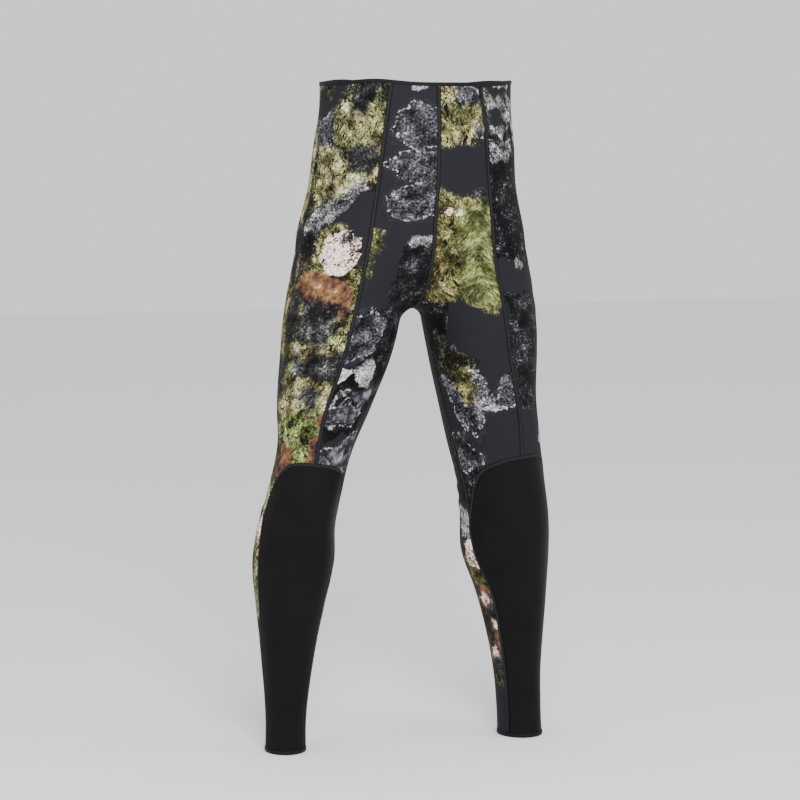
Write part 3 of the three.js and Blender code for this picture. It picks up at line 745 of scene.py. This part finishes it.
# ---- Cut panels above the knee -----------------------------------------------------------------
# Each leg has three printed panels from the waist: front, outer side and back. They are 5 mm
# neoprene, cut flat, glued edge to edge and flatlocked. Each panel is made in two lengths that meet
# above the knee.
CUT = 530.0
EDGE_GAP = 0.4                     # from the body form's ends to the panels' raw edges
WAIST_EDGE, HEM_EDGE = EDGE_GAP, HEM - EDGE_GAP
GRID = 3.4
MM_PER_DEGREE = 1.2                # about what a degree is worth round a leg
WIDTHS = {"front": 100.0, "side": 185.0, "back": 130.0, "shin": 150.0}
NUMBERS = {"front": 0.0, "side": 1.0, "back": 2.0, "shin": 7.0}
GROOVE, ROLL = (-0.85, 2.8, 1.2), (0.35, 7.5, 3.2)     # height, distance from the seam, width
SWING_START, SWING_RUN, SWING = 600.0, 104.0, np.radians(5.0)
PRINTS = {
    "front": {RIGHT: RIGHT_FRONT_PRINT, LEFT: LEFT_FRONT_PRINT},
    "side": {RIGHT: RIGHT_SIDE_PRINT, LEFT: LEFT_SIDE_PRINT},
    "back": {RIGHT: LEFT_FRONT_PRINT + CALF_PRINT, LEFT: RIGHT_FRONT_PRINT + CALF_PRINT},
}


def run_along(points):
    """Running length along a line of points."""
    return np.concatenate([[0], np.cumsum(np.linalg.norm(np.diff(points, axis=0), axis=1))])


def trace(points, fractions):
    """A smooth curve through (drop, degrees) points, read at fractions of its length."""
    p = np.array(points, float)
    table = np.column_stack([run_along(p * (1.0, MM_PER_DEGREE)), p])
    fine = np.linspace(0, table[-1, 0], 400)
    curve = np.column_stack([along(table, fine, 1), along(table, fine, 2)])
    run = run_along(curve * (1.0, MM_PER_DEGREE))
    drop, degrees = (np.interp(fractions, run / run[-1], curve[:, k]) for k in (0, 1))
    return np.column_stack([drop, np.radians(degrees)])


def inner_edge(drop, side):
    """Angle of the front panel's inner edge: the centre seam, then the inseam, which swings
    forward to meet the shin panel, eased as 3s^2 - 2s^3."""
    s = np.clip((drop - SWING_START) / SWING_RUN, 0, 1)
    return half_span(drop, side)[0] + SWING * s * s * (3 - 2 * s)


def back_inner_edge(drop, side):
    """The same edge, as the back panel's last angle."""
    return np.where(drop < SADDLE, half_span(drop, side)[1], inner_edge(drop, side) + 2 * np.pi)


def stations(part):
    """Fractions across a panel, close together beside its seams."""
    width = WIDTHS[part]
    near = np.array([0, 1.2, 2.2, 2.9, 3.8, 5.2, 7.2, 9.8])
    count = max(int((width - 2 * near[-1]) / GRID), 3)
    core = np.linspace(near[-1], width - near[-1], count + 1)
    return np.concatenate([near[:-1], core, (width - near[:-1])[::-1]]) / width


def net(left, right, s, top=None, bottom=None):
    """(drop, angle) over a four-sided panel: straight rulings from its left edge to its right
    edge, bowed to meet a curved top or bottom edge."""
    grid = left[:, None, :] * (1 - s)[None, :, None] + right[:, None, :] * s[None, :, None]
    t = np.linspace(0, 1, len(left))[:, None, None]
    for edge, share in ((top, 1 - t), (bottom, t)):
        if edge is not None:
            chord = edge[:1] * (1 - s)[:, None] + edge[-1:] * s[:, None]
            grid = grid + (edge - chord)[None] * share
    return grid


def seam_height(distance):
    """The sewn edge's shape in mm: a groove under the needle rows and a soft roll beside it,
    each a bell curve over the distance from the seam."""
    return sum(height * np.exp(-((distance - at) / width) ** 2) for height, at, width in (GROOVE, ROLL))


def nearest(points, line):
    """Distance from each grid point to the nearest point of a line."""
    flat = points.reshape(-1, 3)
    least = np.full(len(flat), 1e9)
    for block in np.array_split(line, max(len(line) // 100, 1)):
        least = np.minimum(least, np.sqrt(((flat[:, None, :] - block[None]) ** 2).sum(-1)).min(1))
    return least.reshape(points.shape[:-1])


def densify(line):
    """The same line with a point at about each mm."""
    run = run_along(line)
    at = np.linspace(0, run[-1], max(int(run[-1]), 2))
    return np.column_stack([np.interp(at, run, line[:, k]) for k in range(3)])


def mesh_object(name, points, faces, finishes, face_finish=None):
    """A mesh object at the origin from points in metres and a list of faces."""
    mesh = bpy.data.meshes.new(name)
    mesh.from_pydata(points.tolist(), [], faces)
    for finish in finishes:
        mesh.materials.append(finish)
    mesh.polygons.foreach_set("use_smooth", np.ones(len(mesh.polygons), bool))
    if face_finish is not None:
        mesh.polygons.foreach_set("material_index", face_finish)
    made = bpy.data.objects.new(name, mesh)
    bpy.context.scene.collection.objects.link(made)
    return made


def add_values(mesh, name, values):
    """One number at each point: the outer face's, and the same again for the inner face."""
    both = np.concatenate([values, values]).astype(np.float32)
    mesh.attributes.new(name, "FLOAT", "POINT").data.foreach_set("value", both)


def print_layers(part, side, u, drop, angle):
    """The (u, v, outlines) layers of one panel's print. On a back panel it runs away from the
    back seam, and on the calf it is also placed from the inner seam."""
    if part != "back":
        return [(u, drop, PRINTS[part][side])]
    within = girth(drop, angle[:, -1:] * np.ones_like(u), side) - girth(drop, angle, side)
    return [(-u, drop, PRINTS[part][side]), (within, drop, INNER_CALF_PRINT[side])]


def bend_at_hip(made, side):
    """Bakes the piece's placement into its points."""
    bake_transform(made)


def bend_at_knee(made, side):
    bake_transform(made)


def panel(part, length, side, grid, sewn, bend, nodes, finish=PRINTED, slot="printed_neoprene"):
    """A closed slab of neoprene over a (drop, angle) grid. sewn names its sewn edges. Its outer
    face has the seams' grooves, its map, Cut, is the flat cut, and the girth from its seam
    places its print. It is a cut of sheet, held stretched over the form by its seams."""
    angle, drop = grid[..., 1], grid[..., 0]
    x, y = skin(drop, angle, side)
    base = np.stack([x, y, -drop], -1)
    edges = {"left": base[:, 0], "right": base[:, -1], "top": base[0], "bottom": base[-1]}
    apart = nearest(base, np.concatenate([densify(edges[e]) for e in sewn]))
    outer = lay(x, y, drop, seam_height(apart))
    down, over = np.gradient(outer, axis=0, edge_order=2), np.gradient(outer, axis=1, edge_order=2)
    facing = np.cross(down, over)
    plain = outward(x, y, drop)
    order = -1 if (facing * plain).sum() >= 0 else 1
    facing = -order * facing
    facing /= np.linalg.norm(facing, axis=-1, keepdims=True) + 1e-12
    facing = np.where(((facing * plain).sum(-1) > 0.5)[..., None], facing, plain)
    inner = outer - plain * (WALL * MM)

    rows, columns = grid.shape[:2]
    shift = rows * columns
    index = np.arange(shift).reshape(rows, columns)
    quads = np.stack([index[:-1, :-1], index[:-1, 1:], index[1:, 1:], index[1:, :-1]], -1)
    quads = quads.reshape(-1, 4)[:, ::order]
    rim = np.concatenate([index[0, :], index[1:, -1], index[-1, -2::-1], index[-2:0:-1, 0]])
    after = np.roll(rim, -1)
    wall = np.stack([rim, rim + shift, after + shift, after], -1)[:, ::order]
    faces = np.concatenate([quads, quads[:, ::-1] + shift, wall])
    points = np.concatenate([outer.reshape(-1, 3), inner.reshape(-1, 3)])
    face_finish = np.ones(len(faces), np.int32)
    face_finish[:len(quads)] = 0
    made = mesh_object(f"{SIDES[side]}_{part}_panel_{length}", points, faces.tolist(), [finish, LINING],
                       face_finish)
    mesh = made.data
    smooth = np.ones(len(faces), bool)
    smooth[2 * len(quads):] = False
    mesh.polygons.foreach_set("use_smooth", smooth)

    loops = np.zeros(len(mesh.loops), np.int32)
    mesh.loops.foreach_get("vertex_index", loops)
    normals = np.concatenate([facing.reshape(-1, 3), -facing.reshape(-1, 3)])[loops]
    normals[2 * 4 * len(quads):] = 0.0         # the rim keeps its flat faces' own normals
    mesh.normals_split_custom_set(normals.tolist())

    seam = BACK_SEAM if part == "back" else FRONT_SEAM
    u = girth(drop, angle, side) - girth(drop, seam_angle(seam, drop), side)
    flat = np.stack([u, drop], -1).reshape(-1, 2)
    layer = mesh.uv_layers.new(name="Cut")
    layer.data.foreach_set("uv", (np.concatenate([flat, flat])[loops] * MM).astype(np.float32).ravel())
    printed = part in PRINTS
    add_values(mesh, "panel", np.full(shift, NUMBERS[part] + (3.0 if printed and side == LEFT else 0.0)))
    if printed:
        for motif, depth in print_depths(print_layers(part, side, u, drop, angle)).items():
            add_values(mesh, motif, np.broadcast_to(depth, u.shape).reshape(-1))

    width, length = np.ptp(u) * MM, np.ptp(drop) * MM
    bend(made, side)
    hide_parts(*[f"{SIDES[side]}_{node}" for node in nodes])


# rows from the waist to the cut, close together on both sides of the crotch
gather = np.linspace(0, 1, 20) ** 2
rows = np.concatenate([np.linspace(WAIST_EDGE, ABOVE_ARCH, 88)[:-1],
                       ABOVE_ARCH + (SADDLE - ABOVE_ARCH) * (1 - np.linspace(1, 0, 24) ** 2),
                       (SADDLE + (BELOW_ARCH - SADDLE) * gather)[1:],
                       np.linspace(BELOW_ARCH, CUT, 38)[1:]])
for side in SIDES:
    front_seam, back_seam = seam_angle(FRONT_SEAM, rows), seam_angle(BACK_SEAM, rows)
    edges = {"front": (inner_edge(rows, side), front_seam), "side": (front_seam, back_seam),
             "back": (back_seam, back_inner_edge(rows, side))}
    for part, (left, right) in edges.items():
        grid = net(np.column_stack([rows, left]), np.column_stack([rows, right]), stations(part))
        panel(part, "upper", side, grid, ("left", "right"), bend_at_hip, (f"{part}_panel", f"thigh_{part}"))


# ---- Cut panels round the knee and calf --------------------------------------------------------
# Below the cut the front panel ends at the shin panel's rounded top. The side panel runs on
# behind the shin panel's outer edge to the ankle, and the back panel covers the calf.
PATCH_TOP = [(620, 73), (600, 59), (590, 45), (587, 28), (588, 11), (591, -4), (598, -21), (613, -42),
             (640, -58)]
PATCH_OUTER = [(620, 73), (640, 78), (668, 79), (700, 74), (736, 70.5), (775, 70.5), (830, 76), (895, 86),
               (960, 88), (HEM_EDGE, 84)]
PATCH_INNER = [(640, -58), (672, -67), (704, -73), (738, -66), (775, -58), (810, -51.5), (870, -50),
               (940, -50), (HEM_EDGE, -53)]
TOP_MEETS_FRONT_SEAM = 4           # the place in PATCH_TOP where the front seam ends
INNER_MEETS_INSEAM = 2             # the place in PATCH_INNER where the inseam ends
SEAM_FOOT = PATCH_TOP[TOP_MEETS_FRONT_SEAM][0]
INSEAM_FOOT = PATCH_INNER[INNER_MEETS_INSEAM][0]
KNEE_BACK, KNEE_BACK_END = 578, 668        # the rows are closer together behind the knee


def steps(count):
    return np.linspace(0, 1, count)


def seam_run(table, first, last, count):
    """(drop, angle) points down a front or back seam."""
    drops = np.linspace(first, last, count)
    return np.column_stack([drops, seam_angle(table, drops)])


def inseam_run(first, last, count, side):
    """(drop, angle) points down an inseam."""
    drops = np.linspace(first, last, count)
    return np.column_stack([drops, inner_edge(drops, side)])


for side in SIDES:
    # front, from the cut to the shin panel's top edge
    s = stations("front")
    foot = trace((PATCH_TOP[TOP_MEETS_FRONT_SEAM:] + PATCH_INNER[1:INNER_MEETS_INSEAM + 1])[::-1], s)
    grid = net(inseam_run(CUT, INSEAM_FOOT, 38, side), seam_run(FRONT_SEAM, CUT, SEAM_FOOT, 38), s,
               bottom=foot)
    panel("front", "lower", side, grid, ("left", "right", "bottom"), bend_at_knee, ("thigh_front",))

    # side, from the cut to the hem behind the shin panel
    left = np.concatenate([seam_run(FRONT_SEAM, CUT, SEAM_FOOT, 20),
                           trace(PATCH_TOP[TOP_MEETS_FRONT_SEAM::-1], steps(24))[1:],
                           trace(PATCH_OUTER, steps(118))[1:]])
    right = np.concatenate([seam_run(BACK_SEAM, CUT, KNEE_BACK, 20),
                            seam_run(BACK_SEAM, KNEE_BACK, KNEE_BACK_END, 24)[1:],
                            seam_run(BACK_SEAM, KNEE_BACK_END, HEM_EDGE, 118)[1:]])
    panel("side", "lower", side, net(left, right, stations("side")), ("left", "right"), bend_at_knee,
          ("thigh_side", "knee_back", "calf_panel"))

    # back, from the cut to the hem over the calf
    left = np.concatenate([seam_run(BACK_SEAM, CUT, INSEAM_FOOT, 52),
                           seam_run(BACK_SEAM, INSEAM_FOOT, HEM_EDGE, 100)[1:]])
    right = np.concatenate([inseam_run(CUT, INSEAM_FOOT, 52, side),
                            trace(PATCH_INNER[INNER_MEETS_INSEAM:], steps(100))[1:]]) + (0, 2 * np.pi)
    panel("back", "lower", side, net(left, right, stations("back")), ("left", "right"), bend_at_knee,
          ("thigh_back", "knee_back", "calf_panel"))


# ---- Shin panels -------------------------------------------------------------------------------
# A plain black panel covers each knee and shin, from a rounded top above the kneecap to the
# ankle. It is a smooth satin stretch jersey on the same foam, which sheds water and scuffs.
def satin_finish():
    """Nearly even black, with a faint cloudiness in its colour and its gloss."""
    made, tree, shader = new_finish("smooth black jersey", (0.0070, 0.0070, 0.0070), 0.5, 0.03)
    cut = cut_coordinates(tree)
    stops = [(0.35, (0.0065, 0.0065, 0.0066)), (0.65, (0.0076, 0.0076, 0.0077))]
    tree.links.new(ramp(tree, noise(tree, cut, 0.02, 3), stops), shader.inputs["Base Color"])
    tree.links.new(times(tree, noise(tree, cut, 0.25, 4), 0.14, 0.36), shader.inputs["Roughness"])
    knit(tree, shader, cut, 0.9, 0.7, 0.00005)
    return made


SATIN = satin_finish()
for side in SIDES:
    s = stations("shin")
    grid = net(trace(PATCH_INNER, steps(118)), trace(PATCH_OUTER, steps(118)), s,
               top=trace(PATCH_TOP[::-1], s))
    panel("shin", "whole", side, grid, ("left", "right", "top"), bend_at_knee, ("knee_panel", "shin_panel"),
          SATIN, "smooth_neoprene")


# ---- Seams and their stitching -----------------------------------------------------------------
# Every seam is a six-millimetre flatlock in black bonded thread: a row of needle stitches down
# each side, looper threads laid across between them, and a narrow covering band underneath.
STITCH_PITCH = 3.0
ROW_OFFSET, ROW_HEIGHT = 2.75, -0.15
BAND_HALF, BAND_FOOT, BAND_HEIGHT = 2.5, -1.4, 0.35
LOOPER_HEIGHT = BAND_HEIGHT + 0.02
START = 6.0                        # the threads start and end under the bound edges


def even_path(x, y, drop, step=1.5):
    """Points and normals in metres along a line on the form, evenly spaced."""
    run = run_along(np.column_stack([x, y, drop]))
    at = np.linspace(0, run[-1], max(int(run[-1] / step), 3))
    x, y, drop = (np.interp(at, run, value) for value in (x, y, drop))
    n = outward(x, y, drop)
    gap = form(x, y, drop)[:, None] * n
    x, y, drop = x - gap[:, 0], y - gap[:, 1], drop + gap[:, 2]
    return lay(x, y, drop, 0.0), outward(x, y, drop)


def seam_path(run, side):
    """The same along (drop, angle) pairs."""
    x, y = skin(run[:, 0], run[:, 1], side)
    return even_path(x, y, run[:, 0])


def frame_along(points, normals):
    """Unit directions along the path and across it."""
    ahead = np.gradient(points, axis=0)
    ahead /= np.linalg.norm(ahead, axis=1, keepdims=True)
    sideways = np.cross(normals, ahead)
    sideways /= np.linalg.norm(sideways, axis=1, keepdims=True)
    return ahead, sideways


def ribbon(points, normals, half, low, high, crown=0.2):
    """A closed band along a path. Its section is a shallow arch on a flat base, from low to
    high mm off the surface."""
    sideways = frame_along(points, normals)[1]
    offset = np.array([-1, -0.6, 0, 0.6, 1, 0.5, -0.5]) * half
    height = np.array([high - crown, high - 0.05, high, high - 0.05, high - crown, low, low])
    rings = (points[:, None] + sideways[:, None] * (offset * MM)[None, :, None]
             + normals[:, None] * (height * MM)[None, :, None])
    n, k = rings.shape[:2]
    index = np.arange(n * k).reshape(n, k)
    follow = np.roll(index, -1, 1)
    quads = np.stack([index[:-1], index[1:], follow[1:], follow[:-1]], -1).reshape(-1, 4)
    return rings.reshape(-1, 3), quads.tolist() + [index[0].tolist(), index[-1][::-1].tolist()]


def threads(centre, ahead, aside, up, length, width, height):
    """Short threads as six-sided closed spindles, one at each centre, in metres."""
    turn = np.arange(6) * np.pi / 3
    ring = np.column_stack([np.zeros(6), np.cos(turn), np.sin(turn)])
    shape = np.concatenate([[(-1, 0, 0)], ring + (-0.6, 0, 0), ring + (0.6, 0, 0), [(1, 0, 0)]])
    shape = shape * (length / 2, width / 2, height / 2) * MM
    points = (centre[:, None] + ahead[:, None] * shape[None, :, :1] + aside[:, None] * shape[None, :, 1:2]
              + up[:, None] * shape[None, :, 2:])
    sides = [(a, (a + 1) % 6) for a in range(6)]
    faces = ([[0, 1 + b, 1 + a] for a, b in sides] + [[1 + a, 1 + b, 7 + b, 7 + a] for a, b in sides]
             + [[13, 7 + a, 7 + b] for a, b in sides])
    return points, faces


def thread_finish(name, colour):
    """Twisted thread: darker and lighter by turns."""
    made, tree, shader = new_finish(name, colour, 0.6, 0.15)
    where = add_node(tree, "ShaderNodeTexCoord").outputs["Object"]
    stops = [(0.35, [0.6 * c for c in colour]), (0.65, [1.5 * c for c in colour])]
    tree.links.new(ramp(tree, noise(tree, where, 900.0, 2), stops), shader.inputs["Base Color"])
    return made


NEEDLE_THREAD = thread_finish("black needle thread", (0.004, 0.004, 0.0045))
# The looper thread is a lighter black than the needle thread: painted sheen, standing for the glints on its
# laid threads.
LOOPER_THREAD = thread_finish("black looper thread with painted sheen", (0.022, 0.022, 0.025))


def stitching(name, path):
    """One seam's band, needle rows and looper threads as one object."""
    points, normals = path
    verts, faces = ribbon(points, normals, BAND_HALF, BAND_FOOT, BAND_HEIGHT)
    kinds = [0] * len(faces)
    run = run_along(points) / MM
    at = np.arange(STITCH_PITCH, run[-1] - 1.0, STITCH_PITCH)
    p, n, a, b = (np.column_stack([np.interp(at, run, values[:, k]) for k in range(3)])
                  for values in (points, normals, *frame_along(points, normals)))
    slant = a * 0.42 + b
    slant /= np.linalg.norm(slant, axis=1, keepdims=True)
    # centre, direction, its side, then length, width and height in mm, and the thread
    lines = [(p + (b * ROW_OFFSET + n * ROW_HEIGHT) * MM, a, b, 2.5, 0.95, 0.8, 0),
             (p + (b * -ROW_OFFSET + n * ROW_HEIGHT) * MM, a, b, 2.5, 0.95, 0.8, 0),
             (p + n * LOOPER_HEIGHT * MM, slant, np.cross(n, slant), 4.9, 0.9, 0.6, 1),
             (p + (n * LOOPER_HEIGHT + a * STITCH_PITCH / 2) * MM, b, np.cross(n, b), 3.6, 0.5, 0.5, 1)]
    groups, base = [verts], len(verts)
    for centre, way, aside, length, width, height, kind in lines:
        made_points, made_faces = threads(centre, way, aside, n, length, width, height)
        count = made_points.shape[1]
        offsets = base + count * np.arange(len(centre))
        for face in made_faces:
            faces += (np.array(face)[None] + offsets[:, None]).tolist()
        kinds += [kind] * (len(made_faces) * len(centre))
        groups.append(made_points.reshape(-1, 3))
        base += count * len(centre)
    made = mesh_object(name, np.concatenate(groups), faces, [NEEDLE_THREAD, LOOPER_THREAD],
                       np.array(kinds, np.int32))
    return made


# the centre seams, from the waist to the crotch
drop = np.concatenate([np.linspace(START, ABOVE_ARCH, 60)[:-1],
                       ABOVE_ARCH + (SADDLE - ABOVE_ARCH) * (1 - np.linspace(1, 0, 60) ** 3)])
x, y = middle(drop), along(LEG_LINE, drop, 3)
for part, way in (("front", -1), ("back", 1)):
    far = reach(x, y, np.zeros_like(drop), way * np.ones_like(drop), drop)
    made = stitching(f"centre_{part}_seam", even_path(x, y + way * far, drop))
    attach(made, "trunk")
    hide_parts(f"centre_{part}_stitching")

SEAMS = []
for side in SIDES:
    SEAMS += [
        (side, bend_at_hip, "front_seam_upper", seam_run(FRONT_SEAM, START, CUT, 180),
         ("hip_front_seam", "thigh_front_seam")),
        (side, bend_at_hip, "back_seam_upper", seam_run(BACK_SEAM, START, CUT, 180),
         ("hip_back_seam", "thigh_back_seam")),
        (side, bend_at_hip, "inseam_upper", inseam_run(SADDLE + 1.5, CUT, 90, side), ("inseam",)),
        (side, bend_at_knee, "front_seam_lower", seam_run(FRONT_SEAM, CUT, SEAM_FOOT - 2, 40),
         ("thigh_front_seam",)),
        (side, bend_at_knee, "back_seam_lower", seam_run(BACK_SEAM, CUT, HEM - START, 160),
         ("thigh_back_seam",)),
        (side, bend_at_knee, "inseam_lower", inseam_run(CUT, INSEAM_FOOT, 60, side), ("inseam",)),
        (side, bend_at_knee, "shin_top_seam", trace(PATCH_TOP, steps(80)), ("shin_outer_seam",)),
        (side, bend_at_knee, "shin_outer_seam", trace(PATCH_OUTER, steps(160))[:-2], ("shin_outer_seam",)),
        (side, bend_at_knee, "shin_inner_seam", trace(PATCH_INNER, steps(160))[:-2], ("shin_inner_seam",)),
    ]
for side, bend, name, run, nodes in SEAMS:
    made = stitching(f"{SIDES[side]}_{name}", seam_path(run, side))
    bend(made, side)
    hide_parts(*[f"{SIDES[side]}_{node}_stitching" for node in nodes])


# ---- Sealing tape inside -----------------------------------------------------------------------
# The seams are sealed on the inside with a thin iron-on stretch tape, which keeps the needle
# holes from weeping and lies flat against the skin. The inseam has none.
def tape_finish():
    """Dull film with fine crinkles."""
    made, tree, shader = new_finish("sealing tape", (0.02, 0.02, 0.021), 0.38, 0.5)
    where = add_node(tree, "ShaderNodeTexCoord").outputs["Object"]
    crinkle = noise(tree, where, 260.0, 4)
    stops = [(0.3, (0.014, 0.014, 0.015)), (0.7, (0.03, 0.03, 0.032))]
    tree.links.new(ramp(tree, crinkle, stops), shader.inputs["Base Color"])
    emboss(tree, shader, crinkle, Distance=0.0002)
    return made


TAPE = tape_finish()
TAPE_HALF, TAPE_GAP, TAPE_TOP = 5.5, 0.05, 0.5
for side, bend, name, run, nodes in SEAMS:
    if nodes == ("inseam",):
        continue
    points, normals = seam_path(run, side)
    verts, faces = ribbon(points - normals * WALL * MM, -normals, TAPE_HALF, TAPE_GAP, TAPE_TOP, 0.35)
    made = mesh_object(f"{SIDES[side]}_{name}_tape", verts, faces, [TAPE])
    bend(made, side)
    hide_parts(*[f"{SIDES[side]}_{node}_tape" for node in nodes])


# ---- Bound waist and ankles --------------------------------------------------------------------
# The raw edges at the waist and ankles are bound: a narrow black elastic tape is folded over
# the edge and sewn through, so it shows as a fine line outside and inside.
def binding_finish():
    """Fine ribs across the tape, by height."""
    made, tree, shader = new_finish("edge binding", (0.003, 0.003, 0.0035), 0.6, 0.15)
    where = add_node(tree, "ShaderNodeTexCoord").outputs["Object"]
    ribs = add_node(tree, "ShaderNodeTexWave", {"Vector": where, "Scale": 320.0, "Distortion": 0.6},
                    bands_direction="Z").outputs[1]
    stops = [(0.2, (0.0022, 0.0022, 0.0026)), (0.8, (0.006, 0.006, 0.007))]
    tree.links.new(ramp(tree, ribs, stops), shader.inputs["Base Color"])
    emboss(tree, shader, ribs, Distance=0.0001)
    return made


BINDING = binding_finish()
LAP = 4.6
# (outwards, past the edge) in mm: down outside, over the edge and down inside, open between
FOLD = np.array([(0.2, -LAP), (0.95, -LAP), (1.2, -LAP + 0.5), (1.2, 0.0), (0.7, 0.9), (-0.6, 1.3),
                 (-WALL + 0.6, 1.3), (-WALL - 0.7, 0.9), (-WALL - 1.2, 0.0), (-WALL - 1.2, -LAP + 0.5),
                 (-WALL - 0.95, -LAP), (-WALL - 0.2, -LAP), (-WALL - 0.2, 0.1), (0.2, 0.1)])


def face_up(made):
    """Turns a closed mesh's faces outwards if its signed volume is negative."""
    mesh = made.data
    mesh.calc_loop_triangles()
    corners = np.zeros(len(mesh.loop_triangles) * 3, np.int32)
    mesh.loop_triangles.foreach_get("vertices", corners)
    points = np.zeros(len(mesh.vertices) * 3)
    mesh.vertices.foreach_get("co", points)
    p = points.reshape(-1, 3)[corners.reshape(-1, 3)]
    if np.einsum("ij,ij->i", p[:, 0], np.cross(p[:, 1], p[:, 2])).sum() < 0:
        mesh.flip_normals()


def binding(name, x, y, drop, way, body, node):
    """A folded tape round a level edge: the fold's section carried round it, standing on the
    level part of its normal. way is 1 at the waist and -1 at the hem."""
    edge = lay(x, y, drop, 0.0)
    edge[:, 2] += way * EDGE_GAP * MM
    level = outward(x, y, drop) * (1, 1, 0)
    level /= np.linalg.norm(level, axis=1, keepdims=True)
    rings = edge[:, None] + level[:, None] * (FOLD[:, 0] * MM)[None, :, None]
    rings[..., 2] += way * FOLD[None, :, 1] * MM
    n, k = rings.shape[:2]
    index = np.arange(n * k).reshape(n, k)
    next_ring, follow = np.roll(index, -1, 0), np.roll(index, -1, 1)
    quads = np.stack([index, next_ring, np.roll(next_ring, -1, 1), follow], -1).reshape(-1, 4)
    made = mesh_object(name, rings.reshape(-1, 3), quads.tolist(), [BINDING])
    face_up(made)
    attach(made, body)
    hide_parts(node)


turn = np.linspace(0, 2 * np.pi, 260, endpoint=False)
drop = np.full_like(turn, WAIST_EDGE)
far = reach(middle(drop), 0 * turn, np.cos(turn), np.sin(turn), drop)
binding("waist_edge_binding", middle(drop) + far * np.cos(turn), far * np.sin(turn), drop, 1, "trunk",
        "waist_binding")

turn = np.linspace(0, 2 * np.pi, 120, endpoint=False)
drop = np.full_like(turn, HEM_EDGE)
for side, word in SIDES.items():
    binding(f"{word}_ankle_edge_binding", *skin(drop, turn, side), drop, -1, f"{word}_shin",
            f"{word}_ankle_binding")
